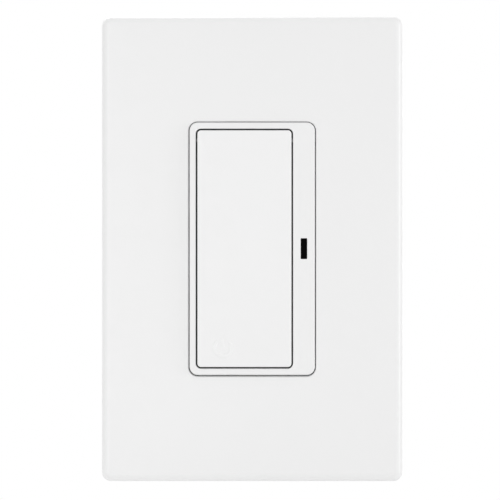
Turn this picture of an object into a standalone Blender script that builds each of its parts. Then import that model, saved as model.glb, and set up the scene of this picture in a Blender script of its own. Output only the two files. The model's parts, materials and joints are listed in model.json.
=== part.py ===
"""Smart light switch: a hinged push pad and its mechanism on a wall-box strap, under a screwless cover plate.

Metres, +Z up. The origin is the device's centre on the surface of the wall. The front faces -Y, and the
housing reaches along +Y into the wall box.
"""
import math

import bmesh
import bpy
from mathutils import Matrix, Vector

MM = 0.001

# Gap left between pieces that touch, and how far a moulded feature is sunk into the piece that carries it
FIT = 0.3 * MM
SINK = 0.25 * MM

# How finely round shapes are divided
CORNER_STEPS = 6
EDGE_STEPS = 4
SCREW_SIDES = 12
BORE_SIDES = 16
CAN_SIDES = 24
CREASE_ANGLE = math.radians(32)

# Cover plate
COVER_SIDE_BORDER = 17.475 * MM
COVER_END_BORDER = 8.25 * MM
COVER_HANG = 0.1 * MM
COVER_CORNER = 2.4 * MM
COVER_EDGE = 1.7 * MM
COVER_DRAFT = 0.25 * MM
COVER_SKIN = 1.8 * MM
COVER_WALL = 1.8 * MM
COLLAR_WALL = 1.2 * MM
OPENING_CORNER = 2.4 * MM
OPENING_EDGE = 0.25 * MM
PRY_SLOT_LENGTH = 9 * MM
PRY_SLOT_DEPTH = 1.3 * MM

# Hooks by which the cover holds on to the mounting plate
COVER_HOOK_LENGTH = 8 * MM
COVER_HOOK_REACH = 1.3 * MM
COVER_HOOK_LIP = 0.4 * MM
SIDE_HOOK_SPREAD = 70 * MM
END_HOOK_SPREAD = 44 * MM

# Mounting plate under the cover
PLATE_GAP = 0.4 * MM
PLATE_CORNER = 2.0 * MM
PLATE_WEB = 1.6 * MM
PLATE_RIM = 1.5 * MM
PLATE_RIB = 1.2 * MM
PLATE_RIB_HEIGHT = 1.1 * MM
PLATE_RIB_SPREAD = 46 * MM
PLATE_WINDOW_GAP = 0.6 * MM
SCREW_NOTCH_GAP = 0.4 * MM

# Strap
STRAP_THICK = 1.3 * MM
STRAP_PAST_SCREW = 4.8 * MM
STRAP_LIP = 0.3 * MM
STRAP_END = 0.5 * MM
STRAP_CORNER = 2.5 * MM
EAR_WIDTH = 34 * MM
EAR_CORNER = 7 * MM
EAR_SLIT = 1.2 * MM
EAR_SLIT_LENGTH = 7.5 * MM
EAR_SLIT_SPREAD = 18 * MM
EAR_SCORE = 0.6 * MM
EAR_SCORE_DEPTH = 0.35 * MM
BOX_SLOT_PLAY = 1.6 * MM
BOX_SCREW_FROM_BEZEL = 8.38 * MM
PLATE_SCREW_FROM_BOX_SCREW = 6.75 * MM
STRAP_WINDOW_MARGIN = 0.5 * MM
STRAP_WINDOW_CORNER = 2 * MM
TAB_WIDTH = 8 * MM
TAB_LENGTH = 9.5 * MM
TAB_BEND = 0.8 * MM
TAB_FROM_EAR_END = 9 * MM

# Bezel
BEZEL_GAP = 0.28 * MM
BEZEL_SIDE = 1.635 * MM
BEZEL_END = 1.665 * MM
STRIP_WIDTH = 5.745 * MM
BEZEL_PROUD = 0.6 * MM
BEZEL_EDGE = 0.35 * MM
WELL_EDGE = 0.12 * MM
BEZEL_FLOOR = 1.2 * MM
CORE_WALL = 1.3 * MM
CORE_LENGTH = 14 * MM
CORE_FROM_LENS = 2.4 * MM
LEG_THICK = 1.2 * MM
LEG_WIDTH = 4 * MM
LEG_TOOTH = 0.8 * MM
LEG_TOOTH_DEPTH = 1.0 * MM
TOOTH_LAND = 0.3
BEZEL_LEG_INSET = 0.8 * MM
BEZEL_LEG_FROM_BOSS = 6.85 * MM

# Push pad
PAD_WIDTH = 24.78 * MM
PAD_HEIGHT = 62.37 * MM
PAD_CORNER = 0.95 * MM
PAD_GAP = 0.42 * MM
PAD_PROUD = 0.6 * MM
PAD_EDGE = 0.35 * MM
PAD_SKIN = 1.6 * MM
PAD_WALL = 1.2 * MM
PAD_TRAVEL = 0.95 * MM
PAD_RIB = 0.8 * MM
PAD_RIB_HEIGHT = 0.7 * MM
PAD_LONG_RIB_SPREAD = 4.4 * MM
PAD_CROSS_RIB_PITCH = 12 * MM
PAD_CROSS_RIBS = 2
PAD_LEG_SPREAD = 13 * MM
PAD_LEG_FROM_END = 3.6 * MM

# Hinge rod along the top of the pad
ROD_RADIUS = 0.7 * MM
ROD_FROM_TOP = 2.6 * MM
ROD_GRIP = 2.0 * MM
EAR_RING = 0.75 * MM
EAR_THICK = 3 * MM
EAR_SPREAD = 16 * MM
EAR_MOUTH = 1.5 * MM

# Return springs
SPRING_RADIUS = 2.0 * MM
SPRING_WIRE = 0.2 * MM
SPRING_TURNS = 3.5
SPRING_STEPS_PER_TURN = 10
SPRING_SIDES = 5
SPRING_SPREAD = 14 * MM
SPRING_FROM_POST = 8 * MM
SPIGOT_RADIUS = 1.2 * MM
SPIGOT_HEIGHT = 1.1 * MM
PIP_HEIGHT = 0.7 * MM

# Momentary switch that the pad works
POST_FROM_LEG = 5.6 * MM
PLUNGER_RADIUS = 1.6 * MM
PLUNGER_RISE = 0.9 * MM
PLUNGER_EDGE = 0.3 * MM
TACT_WIDTH = 6.2 * MM
TACT_HEIGHT = 3.0 * MM
TACT_BASE = 0.6 * MM
TACT_CLEAR = 0.6 * MM
TACT_EDGE = 0.4 * MM

# Indicator
LENS_WIDTH = 1.72 * MM
LENS_HEIGHT = 5.5 * MM
LENS_CORNER = 0.15 * MM
LENS_GAP = 0.08 * MM
LENS_SUNK = 0.1 * MM
LENS_FLANGE = 0.7 * MM
LENS_FLANGE_DEPTH = 1.2 * MM
LED_WIDTH = 1.6 * MM
LED_HEIGHT = 3.2 * MM
LED_DEPTH = 0.9 * MM

# Screws: shank radius, head radius, head height and length
BOX_SHANK = 1.6 * MM
BOX_HEAD = 3.2 * MM
BOX_HEAD_HEIGHT = 1.8 * MM
BOX_SCREW_LENGTH = 24 * MM
PLATE_SHANK = 1.45 * MM
PLATE_HEAD = 2.9 * MM
PLATE_HEAD_HEIGHT = 1.3 * MM
PLATE_SCREW_LENGTH = 8 * MM
GROUND_SHANK = 1.6 * MM
GROUND_HEAD = 3.3 * MM
GROUND_HEAD_HEIGHT = 1.8 * MM
GROUND_SCREW_LENGTH = 6 * MM
CASE_SHANK = 1.0 * MM
CASE_HEAD = 2.0 * MM
CASE_SCREW_LENGTH = 9 * MM
TERMINAL_SHANK = 1.6 * MM
TERMINAL_HEAD = 3.2 * MM
TERMINAL_HEAD_HEIGHT = 1.6 * MM
RECESS_WIDTH = 0.8 * MM
RECESS_SHARE = 0.62
RECESS_DEPTH_SHARE = 0.5
CROWN_TOP_SHARE = 0.72
CROWN_SIDE_SHARE = 0.93
CROWN_SIDE_LEVEL = 0.7
CROWN_RIM_LEVEL = 0.3

# Washers that keep the box screws in the strap
RETAINER_SIZE = 8.5 * MM
RETAINER_CORNER = 1.5 * MM
RETAINER_THICK = 0.7 * MM

# Rear housing
HOUSING_PAST_BEZEL = 0.73 * MM
HOUSING_CORNER = 2.5 * MM
HOUSING_DRAFT = 0.5 * MM
HOUSING_EDGE = 1.2 * MM
HOUSING_WALL = 2.0 * MM
HOUSING_FLANGE = 3.2 * MM
HOUSING_STEP = 0.5 * MM
BOSS_RADIUS = 2.4 * MM
BOSS_STEP = 0.5 * MM
PANEL_MARGIN = 9 * MM
PANEL_DEPTH = 0.4 * MM

# Circuit boards and how far apart they stand
BOARD_THICK = 1.6 * MM
BOARD_MARGIN = 1.5 * MM
BOARD_CORNER = 0.5 * MM
PART_MARGIN = 1.8 * MM
COLUMN_GAP = 6.8 * MM
RADIO_WIDTH = 13 * MM
RADIO_HEIGHT = 17 * MM
RADIO_THICK = 0.8 * MM
RADIO_FROM_WINDOW = 2.2 * MM
SHIELD_MARGIN = 1.2 * MM
SHIELD_TOP_MARGIN = 4.5 * MM
SHIELD_THICK = 1.4 * MM
SHIELD_CORNER = 0.8 * MM
HEADER_PINS = 6
HEADER_PITCH = 2.54 * MM
HEADER_BODY = 2.5 * MM
HEADER_PIN = 0.64 * MM

# Parts on the power board
RELAY_WIDTH = 13 * MM
RELAY_LENGTH = 20 * MM
RELAY_HEIGHT = 12 * MM
RELAY_EDGE = 0.8 * MM
CORE_BLOCK_HEIGHT = 11 * MM
CORE_BLOCK_THICK = 6 * MM
CORE_LIMB = 2.0 * MM
CORE_MIDDLE = 4.6 * MM
COIL_SPACE = 2.7 * MM
BULK_RADIUS = 4.0 * MM
BULK_HEIGHT = 11.5 * MM
OUTPUT_RADIUS = 3.15 * MM
OUTPUT_HEIGHT = 9 * MM
CAN_GROOVE = 0.35 * MM
CAN_GROOVE_HEIGHT = 1.6 * MM
FILM_WIDTH = 13 * MM
FILM_DEPTH = 5.5 * MM
FILM_HEIGHT = 10.5 * MM
FILM_EDGE = 0.7 * MM
VARISTOR_RADIUS = 4.5 * MM
VARISTOR_THICK = 3.6 * MM
RESISTOR_RADIUS = 1.7 * MM
RESISTOR_LENGTH = 8 * MM
RESISTOR_CAP = 1.6 * MM
RECTIFIER_WIDTH = 6.4 * MM
RECTIFIER_LENGTH = 5 * MM
RECTIFIER_HEIGHT = 2.6 * MM
RECTIFIER_EDGE = 0.4 * MM
PART_SPACING = 1.4 * MM

# Screw terminals
TERMINAL_SPREAD = 28 * MM
TERMINAL_SIZE = 8 * MM
TERMINAL_THICK = 1.0 * MM
TERMINAL_LEG = 3 * MM
CLAMP_THICK = 1.0 * MM
CLAMP_CHAMFER = 1.2 * MM
WIRE_GAP = 1.8 * MM
WIRE_HOLE_RADIUS = 1.15 * MM
WIRE_HOLE_SPREAD = 5.8 * MM
WIRE_FUNNEL = 0.7 * MM
CHANNEL_DEPTH = 0.8 * MM
CHANNEL_MARGIN = 3.2 * MM
SCREW_TAIL = 0.8 * MM
HEAD_SUNK = 0.2 * MM
BAY_HEIGHT = 13 * MM
BAY_WALL = 1.2 * MM

# Depths from the wall's surface, negative towards the room
STRAP_FRONT = -STRAP_THICK
WEB_REAR = STRAP_FRONT - FIT
WEB_FRONT = WEB_REAR - PLATE_WEB
SKIN_REAR = WEB_FRONT - PLATE_HEAD_HEIGHT - 2 * FIT
COVER_FACE = SKIN_REAR - COVER_SKIN
BEZEL_FACE = COVER_FACE - BEZEL_PROUD
BEZEL_REAR = STRAP_FRONT - FIT
FLOOR_FRONT = BEZEL_REAR - BEZEL_FLOOR
PAD_FACE = BEZEL_FACE - PAD_PROUD
PAD_INSIDE = PAD_FACE + PAD_SKIN
PAD_REAR = FLOOR_FRONT - PAD_TRAVEL - FIT
CONTROL_FRONT = BEZEL_REAR + TACT_CLEAR + TACT_HEIGHT + FIT
CONTROL_REAR = CONTROL_FRONT + BOARD_THICK
CAN_HEIGHT = max(BULK_HEIGHT, OUTPUT_HEIGHT)
TALLEST_PART = max(RELAY_HEIGHT, CORE_BLOCK_HEIGHT, CAN_HEIGHT, FILM_HEIGHT, 2 * VARISTOR_RADIUS)
POWER_FRONT = CONTROL_REAR + TALLEST_PART + 2 * FIT + BOARD_MARGIN
POWER_REAR = POWER_FRONT + BOARD_THICK
PART_SEAT = POWER_FRONT - FIT
HOUSING_FLOOR = POWER_REAR + TERMINAL_SIZE + 2 * FIT
HOUSING_REAR = HOUSING_FLOOR + HOUSING_WALL

# Places across the front
WELL_WIDTH = PAD_WIDTH + 2 * PAD_GAP
WELL_HEIGHT = PAD_HEIGHT + 2 * PAD_GAP
WELL_CORNER = PAD_CORNER + PAD_GAP
BEZEL_WIDTH = WELL_WIDTH + BEZEL_SIDE + STRIP_WIDTH
BEZEL_HEIGHT = WELL_HEIGHT + 2 * BEZEL_END
BEZEL_CORNER = OPENING_CORNER - BEZEL_GAP
OPENING_WIDTH = BEZEL_WIDTH + 2 * BEZEL_GAP
OPENING_HEIGHT = BEZEL_HEIGHT + 2 * BEZEL_GAP
PAD_OFFSET = (BEZEL_SIDE - STRIP_WIDTH) / 2
WELL_RIGHT = PAD_OFFSET + WELL_WIDTH / 2
STRIP_CENTRE = (WELL_RIGHT + BEZEL_WIDTH / 2) / 2
ROD_BORE = ROD_RADIUS + FIT
EAR_RADIUS = ROD_BORE + EAR_RING
ROD_DEPTH = FLOOR_FRONT - FIT - EAR_RADIUS
ROD_LEVEL = PAD_HEIGHT / 2 - ROD_FROM_TOP
PAD_LEG_LEVEL = PAD_HEIGHT / 2 - PAD_LEG_FROM_END
POST_LEVEL = POST_FROM_LEG - PAD_LEG_LEVEL
SPRING_LEVEL = POST_LEVEL + SPRING_FROM_POST
PLUNGER_TIP = FLOOR_FRONT - PLUNGER_RISE
PLUNGER_TRAVEL = PAD_TRAVEL * (ROD_LEVEL - POST_LEVEL) / (PAD_HEIGHT - ROD_FROM_TOP)
WINDOW_WIDTH = PAD_LEG_SPREAD + LEG_WIDTH + 2 * STRAP_WINDOW_MARGIN
WINDOW_HEIGHT = 2 * (PAD_LEG_LEVEL + LEG_THICK / 2 + LEG_TOOTH + 2 * FIT)
BEZEL_LEG_X = BEZEL_WIDTH / 2 - BEZEL_LEG_INSET - LEG_THICK / 2
LENS_FLANGE_FRONT = BEZEL_REAR - LENS_FLANGE_DEPTH - FIT
LED_FRONT = CONTROL_FRONT - FIT - LED_DEPTH

# Places inside the housing
CORE_BLOCK_WIDTH = CORE_MIDDLE + 2 * (CORE_LIMB + COIL_SPACE)
PARTS_ROOM = RELAY_WIDTH + COLUMN_GAP + CORE_BLOCK_WIDTH + 2 * PART_MARGIN
LEG_ROOM = 2 * (BEZEL_LEG_X + LEG_THICK / 2 + LEG_TOOTH + FIT)
BOARD_WIDTH = max(PARTS_ROOM, LEG_ROOM)
HOUSING_WIDTH = BOARD_WIDTH + 2 * (FIT + HOUSING_DRAFT + HOUSING_WALL)
HOUSING_HEIGHT = BEZEL_HEIGHT + 2 * HOUSING_PAST_BEZEL
BOARD_HEIGHT = HOUSING_HEIGHT - 2 * (FIT + HOUSING_DRAFT + HOUSING_WALL)
BOSS_FOOT = BOSS_RADIUS + 2 * BOSS_STEP
BOSS_X = HOUSING_WIDTH / 2 - HOUSING_DRAFT - SINK - BOSS_FOOT
BOSS_Z = HOUSING_HEIGHT / 2 - HOUSING_DRAFT - SINK - BOSS_FOOT
BEZEL_LEG_SPREAD = 2 * (BOSS_Z - BEZEL_LEG_FROM_BOSS)
COLUMN_EDGE = BOARD_WIDTH / 2 - PART_MARGIN
CHANNEL_X = HOUSING_WIDTH / 2 - HOUSING_DRAFT - CHANNEL_DEPTH
HEAD_OUTER = CHANNEL_X - HEAD_SUNK
CLAMP_OUTER = HEAD_OUTER - TERMINAL_HEAD_HEIGHT - FIT
TERMINAL_OUTER = CLAMP_OUTER - CLAMP_THICK - WIRE_GAP
TERMINAL_INNER = TERMINAL_OUTER - TERMINAL_THICK
BAY_INNER = TERMINAL_INNER - SCREW_TAIL - FIT
TERMINAL_DEPTH = (POWER_REAR + HOUSING_FLOOR) / 2

# Outlines of the strap and the cover
BOX_SCREW_SPACING = BEZEL_HEIGHT + 2 * BOX_SCREW_FROM_BEZEL
PLATE_SCREW_SPACING = BOX_SCREW_SPACING + 2 * PLATE_SCREW_FROM_BOX_SCREW
STRAP_WIDTH = HOUSING_WIDTH + 2 * (HOUSING_STEP + STRAP_LIP)
STRAP_LENGTH = PLATE_SCREW_SPACING + 2 * STRAP_PAST_SCREW
TAB_LEVEL = TAB_FROM_EAR_END + TAB_WIDTH / 2 - STRAP_LENGTH / 2
COVER_WIDTH = STRAP_WIDTH + 2 * COVER_SIDE_BORDER
COVER_HEIGHT = STRAP_LENGTH + 2 * COVER_END_BORDER

# Axes
RIGHT = Vector((1, 0, 0))
BACK = Vector((0, 1, 0))
UP = Vector((0, 0, 1))


# Meshes from rings of points

def rounded_ring(width, height, radius, depth, centre=(0.0, 0.0), steps=CORNER_STEPS):
    """A rounded rectangle across X and Z at one depth."""
    middle_x, middle_z = centre
    points = []
    for corner, (side_x, side_z) in enumerate(((1, 1), (-1, 1), (-1, -1), (1, -1))):
        pivot_x = middle_x + side_x * (width / 2 - radius)
        pivot_z = middle_z + side_z * (height / 2 - radius)
        for step in range(steps + 1):
            angle = (corner + step / steps) * math.pi / 2
            across, up = radius * math.cos(angle), radius * math.sin(angle)
            points.append(Vector((pivot_x + across, depth, pivot_z + up)))
    return points


def round_ring(centre, normal, radius, sides):
    """A circle of points about an axis."""
    across = normal.orthogonal().normalized()
    other = normal.cross(across).normalized()
    points = []
    for side in range(sides):
        angle = (side + 0.5) * math.tau / sides
        points.append(centre + radius * (across * math.cos(angle) + other * math.sin(angle)))
    return points


def loft(name, rings, closed=False):
    """One solid through rings of equally many points. A closed loft runs back to its first ring."""
    mesh = bmesh.new()
    loops = [[mesh.verts.new(point) for point in ring] for ring in rings]
    count = len(loops[0])
    pairs = list(zip(loops, loops[1:]))
    if closed:
        pairs.append((loops[-1], loops[0]))
    for first, second in pairs:
        for index in range(count):
            after = (index + 1) % count
            mesh.faces.new((first[index], first[after], second[after], second[index]))
    if not closed:
        mesh.faces.new(loops[0])
        mesh.faces.new(loops[-1])
    bmesh.ops.recalc_face_normals(mesh, faces=mesh.faces)
    data = bpy.data.meshes.new(name)
    mesh.to_mesh(data)
    mesh.free()
    piece = bpy.data.objects.new(name, data)
    bpy.context.scene.collection.objects.link(piece)
    return piece


def prism(name, outline, origin, across, along, sweep, length):
    """A flat outline in the plane of two directions, extruded both ways along a third."""
    ends = []
    for side in (-0.5, 0.5):
        shift = origin + sweep * length * side
        ends.append([shift + across * a + along * b for a, b in outline])
    return loft(name, ends)


def block(name, low, high):
    """A box between two corners."""
    (x0, y0, z0), (x1, y1, z1) = low, high
    ends = [[Vector((x, y, z)) for x, y in ((x0, y0), (x1, y0), (x1, y1), (x0, y1))] for z in (z0, z1)]
    return loft(name, ends)


def turned(name, profile, centre, axis, sides):
    """A turned piece. The profile lists its radius at distances along the axis."""
    return loft(name, [round_ring(centre + axis * along, axis, radius, sides) for radius, along in profile])


def soft_block(name, width, height, radius, front, rear, edge, centre):
    """A rounded block with a chamfer round its front face."""
    rings = [
        rounded_ring(width - 2 * edge, height - 2 * edge, radius, front, centre, EDGE_STEPS),
        rounded_ring(width, height, radius + edge, front + edge, centre, EDGE_STEPS),
        rounded_ring(width, height, radius + edge, rear, centre, EDGE_STEPS),
    ]
    return loft(name, rings)


def combine(target, tools, operation):
    """Join tools to a piece, or cut it with them, and remove the tools."""
    for tool in tools:
        modifier = target.modifiers.new(operation, "BOOLEAN")
        modifier.operation = operation
        modifier.object = tool
    graph = bpy.context.evaluated_depsgraph_get()
    result = bpy.data.meshes.new_from_object(target.evaluated_get(graph))
    target.modifiers.clear()
    former = target.data
    target.data = result
    bpy.data.meshes.remove(former)
    for tool in tools:
        bpy.data.objects.remove(tool)


def join(target, *tools):
    combine(target, tools, "UNION")


def cut(target, *tools):
    combine(target, tools, "DIFFERENCE")


def both_ways(spread):
    """The two places that lie half a spread either side of the middle."""
    return -spread / 2, spread / 2


# Finishes: colour, roughness and metallic value

FINISHES = {
    "white_moulding": ((0.86, 0.86, 0.86), 0.38, 0.0),
    "white_inner": ((0.78, 0.78, 0.77), 0.55, 0.0),
    "dark_moulding": ((0.035, 0.036, 0.04), 0.5, 0.0),
    "smoked_lens": ((0.01, 0.01, 0.012), 0.12, 0.0),
    "zinc_steel": ((0.62, 0.63, 0.65), 0.36, 1.0),
    "spring_steel": ((0.5, 0.5, 0.52), 0.28, 1.0),
    "brass": ((0.72, 0.53, 0.24), 0.3, 1.0),
    "green_steel": ((0.05, 0.3, 0.12), 0.35, 0.6),
    "fibre": ((0.2, 0.16, 0.12), 0.8, 0.0),
    "board": ((0.02, 0.16, 0.07), 0.4, 0.0),
    "relay_case": ((0.03, 0.1, 0.3), 0.4, 0.0),
    "ferrite": ((0.06, 0.06, 0.065), 0.6, 0.0),
    "winding_tape": ((0.75, 0.62, 0.12), 0.45, 0.0),
    "can_sleeve": ((0.03, 0.03, 0.05), 0.35, 0.0),
    "film_case": ((0.75, 0.55, 0.08), 0.45, 0.0),
    "varistor_coat": ((0.05, 0.2, 0.5), 0.4, 0.0),
    "resistor_body": ((0.45, 0.6, 0.55), 0.5, 0.0),
    "chip_case": ((0.03, 0.03, 0.03), 0.5, 0.0),
    "led_body": ((0.85, 0.85, 0.75), 0.3, 0.0),
}


def finish(piece, look, origin=Vector((0, 0, 0)), parent=None):
    """Give a piece its own material, smooth round faces, its origin and its parent."""
    colour, roughness, metallic = FINISHES[look]
    material = bpy.data.materials.new(piece.name + "_" + look)
    material.use_nodes = True
    shader = material.node_tree.nodes["Principled BSDF"]
    shader.inputs["Base Color"].default_value = (*colour, 1.0)
    shader.inputs["Roughness"].default_value = roughness
    shader.inputs["Metallic"].default_value = metallic
    piece.data.materials.clear()
    piece.data.materials.append(material)
    piece.data.shade_smooth()
    piece.data.set_sharp_from_angle(angle=CREASE_ANGLE)
    piece.data.transform(Matrix.Translation(-origin))
    piece.location = origin - parent.location if parent else origin
    piece.parent = parent
    return piece


def pivot(name, place):
    """An empty on a joint's axis, for a moving piece to hang from."""
    empty = bpy.data.objects.new(name, None)
    empty.location = place
    empty.empty_display_size = 5 * MM
    bpy.context.scene.collection.objects.link(empty)
    return empty


# Screws: each is made along an axis, with its head's seat at the given place

def head_recess(top, axis, depth, span):
    """Two crossed bars that cut a screw head's driving recess, from its top down."""
    across = axis.orthogonal().normalized()
    other = axis.cross(across)
    half = RECESS_WIDTH / 2
    outline = ((-half, -FIT), (half, -FIT), (half, depth), (-half, depth))
    return [
        prism("recess", outline, top, across, axis, other, span),
        prism("recess", outline, top, other, axis, across, span),
    ]


def pan_screw(name, seat, axis, shank, head, height, length):
    """A domed screw. The axis points from its head to its tip."""
    profile = (
        (head * CROWN_TOP_SHARE, -height),
        (head * CROWN_SIDE_SHARE, -height * CROWN_SIDE_LEVEL),
        (head, -height * CROWN_RIM_LEVEL),
        (head, 0),
        (shank, 0),
        (shank, length - shank / 2),
        (shank / 2, length),
    )
    screw = turned(name, profile, seat, axis, SCREW_SIDES)
    cut(screw, *head_recess(seat - axis * height, axis, height * RECESS_DEPTH_SHARE, 2 * head * RECESS_SHARE))
    return screw


def flat_screw(name, face, axis, shank, head, length):
    """A countersunk screw whose flat head's face is at the given place."""
    cone = head - shank
    profile = (
        (head, 0),
        (shank, cone),
        (shank, length - shank),
        (shank / 2, length),
    )
    screw = turned(name, profile, face, axis, SCREW_SIDES)
    cut(screw, *head_recess(face, axis, cone * RECESS_DEPTH_SHARE, 2 * head * RECESS_SHARE))
    return screw


def copy_of(piece, name, shift):
    """Another object that shares a piece's mesh and finish, moved by a shift."""
    twin = bpy.data.objects.new(name, piece.data)
    twin.location = piece.location + shift
    twin.parent = piece.parent
    bpy.context.scene.collection.objects.link(twin)
    return twin


# Cover plate and the mounting plate that it clips on

def wall_places():
    """Each inner wall of the cover where hooks stand: a place on it, its inward direction and its run."""
    half_width = COVER_WIDTH / 2 - COVER_WALL
    half_height = COVER_HEIGHT / 2 - COVER_WALL
    places = []
    for side in (-1, 1):
        for level in both_ways(SIDE_HOOK_SPREAD):
            places.append((Vector((side * half_width, 0, level)), -side * RIGHT, UP))
        for offset in both_ways(END_HOOK_SPREAD):
            places.append((Vector((offset, 0, side * half_height)), -side * UP, RIGHT))
    return places


def cover_hook(place, inward, run):
    """A moulded hook: its flat side holds behind the mounting plate, and its slope lets it clip on."""
    catch = WEB_REAR + FIT
    outline = (
        (-SINK, catch),
        (COVER_HOOK_REACH, catch),
        (COVER_HOOK_REACH, catch + COVER_HOOK_LIP),
        (-SINK, -FIT),
    )
    return prism("hook", outline, place, inward, BACK, run, COVER_HOOK_LENGTH)


def cover_rings():
    """The cover's section, carried round from its rear rim over the front and the opening to the inside."""
    rings = [rounded_ring(COVER_WIDTH, COVER_HEIGHT, COVER_CORNER, 0)]
    for step in range(EDGE_STEPS + 1):
        angle = math.pi / 2 * step / EDGE_STEPS
        inset = COVER_DRAFT + COVER_EDGE * (1 - math.cos(angle))
        depth = COVER_FACE + COVER_EDGE * (1 - math.sin(angle))
        width = COVER_WIDTH - 2 * inset
        height = COVER_HEIGHT - 2 * inset
        rings.append(rounded_ring(width, height, max(COVER_CORNER - inset, SINK), depth))
    for inset, depth in ((OPENING_EDGE, COVER_FACE), (0, COVER_FACE + OPENING_EDGE)):
        rings.append(opening_ring(inset, depth))
    collar_rear = WEB_FRONT - FIT
    rings.append(opening_ring(0, collar_rear))
    rings.append(opening_ring(COLLAR_WALL, collar_rear))
    rings.append(opening_ring(COLLAR_WALL, SKIN_REAR))
    inner_width = COVER_WIDTH - 2 * COVER_WALL
    inner_height = COVER_HEIGHT - 2 * COVER_WALL
    inner_corner = max(COVER_CORNER - COVER_WALL, SINK)
    rings.append(rounded_ring(inner_width, inner_height, inner_corner, SKIN_REAR))
    rings.append(rounded_ring(inner_width, inner_height, inner_corner, 0))
    return rings


def opening_ring(outset, depth):
    return rounded_ring(
        OPENING_WIDTH + 2 * outset,
        OPENING_HEIGHT + 2 * outset,
        OPENING_CORNER + outset,
        depth,
    )


def hang_low(plate):
    """The cover hangs on its hooks by their play, so its opening's lower gap is the widest."""
    for vertex in plate.data.vertices:
        vertex.co -= COVER_HANG * UP


def build_wall_plate():
    plate = loft("wall_plate", cover_rings(), closed=True)
    join(plate, *[cover_hook(*place) for place in wall_places()])
    bottom = -COVER_HEIGHT / 2
    slot = block(
        "pry_slot",
        (-PRY_SLOT_LENGTH / 2, -PRY_SLOT_DEPTH, bottom - SINK),
        (PRY_SLOT_LENGTH / 2, SINK, bottom + COVER_WALL + SINK),
    )
    cut(plate, slot)
    hang_low(plate)
    finish(plate, "white_moulding")


def mounting_ring(inset, depth):
    """The mounting plate's outline under the cover, or one that lies inside it."""
    away = COVER_WALL + PLATE_GAP + inset
    return rounded_ring(
        COVER_WIDTH - 2 * away,
        COVER_HEIGHT - 2 * away,
        max(PLATE_CORNER - inset, SINK),
        depth,
    )


def window_ring(depth):
    return rounded_ring(
        BEZEL_WIDTH + 2 * PLATE_WINDOW_GAP,
        BEZEL_HEIGHT + 2 * PLATE_WINDOW_GAP,
        BEZEL_CORNER + PLATE_WINDOW_GAP,
        depth,
    )


def rim_notch(place, inward, run):
    """The gap in the mounting plate's rim that a cover hook passes through."""
    far = PLATE_GAP + PLATE_RIM + SINK
    outline = ((0, WEB_REAR), (far, WEB_REAR), (far, FIT), (0, FIT))
    return prism("notch", outline, place, inward, BACK, run, COVER_HOOK_LENGTH + 4 * FIT)


def plate_ribs():
    """Cross ribs behind the mounting plate, from beside the strap to its rim on either side."""
    ribs = []
    rear = WEB_REAR + PLATE_RIB_HEIGHT
    inner = STRAP_WIDTH / 2 + FIT
    outer = COVER_WIDTH / 2 - COVER_WALL - PLATE_GAP - PLATE_RIM + SINK
    for side in (-1, 1):
        for level in (*both_ways(PLATE_RIB_SPREAD), 0):
            near, far = sorted((side * inner, side * outer))
            low = (near, WEB_REAR - SINK, level - PLATE_RIB / 2)
            ribs.append(block("rib", low, (far, rear, level + PLATE_RIB / 2)))
    return ribs


def build_mounting_plate():
    rings = [
        mounting_ring(0, -FIT),
        mounting_ring(0, WEB_FRONT),
        window_ring(WEB_FRONT),
        window_ring(WEB_REAR),
        mounting_ring(PLATE_RIM, WEB_REAR),
        mounting_ring(PLATE_RIM, -FIT),
    ]
    plate = loft("mounting_plate", rings, closed=True)
    join(plate, *plate_ribs())
    cutters = [rim_notch(*place) for place in wall_places()]
    notch = BOX_HEAD + SCREW_NOTCH_GAP
    for side in (-1, 1):
        level = side * BOX_SCREW_SPACING / 2
        inner = side * (BEZEL_HEIGHT / 2 - SINK)
        low, high = sorted((level, inner))
        cutters.append(block("notch", (-notch, WEB_FRONT - FIT, low), (notch, WEB_REAR + FIT, high)))
        cutters.append(web_hole(level, notch, CAN_SIDES))
        cutters.append(web_hole(side * PLATE_SCREW_SPACING / 2, PLATE_SHANK + FIT, BORE_SIDES))
    cut(plate, *cutters)
    finish(plate, "white_inner")


def web_hole(level, radius, sides):
    profile = ((radius, WEB_FRONT - FIT), (radius, WEB_REAR + FIT))
    return turned("hole", profile, UP * level, BACK, sides)


# Strap across the wall box

def strap_slab(width, height, radius):
    rings = [rounded_ring(width, height, radius, depth) for depth in (STRAP_FRONT, 0)]
    return loft("slab", rings)


def strap_cutter(width, height, radius, centre, sides=EDGE_STEPS):
    rings = [rounded_ring(width, height, radius, depth, centre, sides) for depth in (STRAP_FRONT - FIT, FIT)]
    return loft("hole", rings)


def strap_hole(centre, radius):
    profile = ((radius, STRAP_FRONT - FIT), (radius, FIT))
    return turned("hole", profile, centre, BACK, BORE_SIDES)


def ground_tab():
    """The tab bent back from the lower ear's left edge, with its round bend."""
    left = -EAR_WIDTH / 2
    root = left + 2 * STRAP_THICK + TAB_BEND
    bend = STRAP_THICK + TAB_BEND
    outline = [(root, STRAP_FRONT)]
    for step in range(EDGE_STEPS + 1):
        angle = math.pi / 2 * step / EDGE_STEPS
        outline.append((left + bend * (1 - math.sin(angle)), STRAP_FRONT + bend * (1 - math.cos(angle))))
    outline += [(left, TAB_LENGTH), (left + STRAP_THICK, TAB_LENGTH)]
    for step in reversed(range(EDGE_STEPS + 1)):
        angle = math.pi / 2 * step / EDGE_STEPS
        outline.append((left + bend - TAB_BEND * math.sin(angle), TAB_BEND * (1 - math.cos(angle))))
    outline.append((root, 0))
    return prism("tab", outline, UP * TAB_LEVEL, RIGHT, BACK, UP, TAB_WIDTH)


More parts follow.
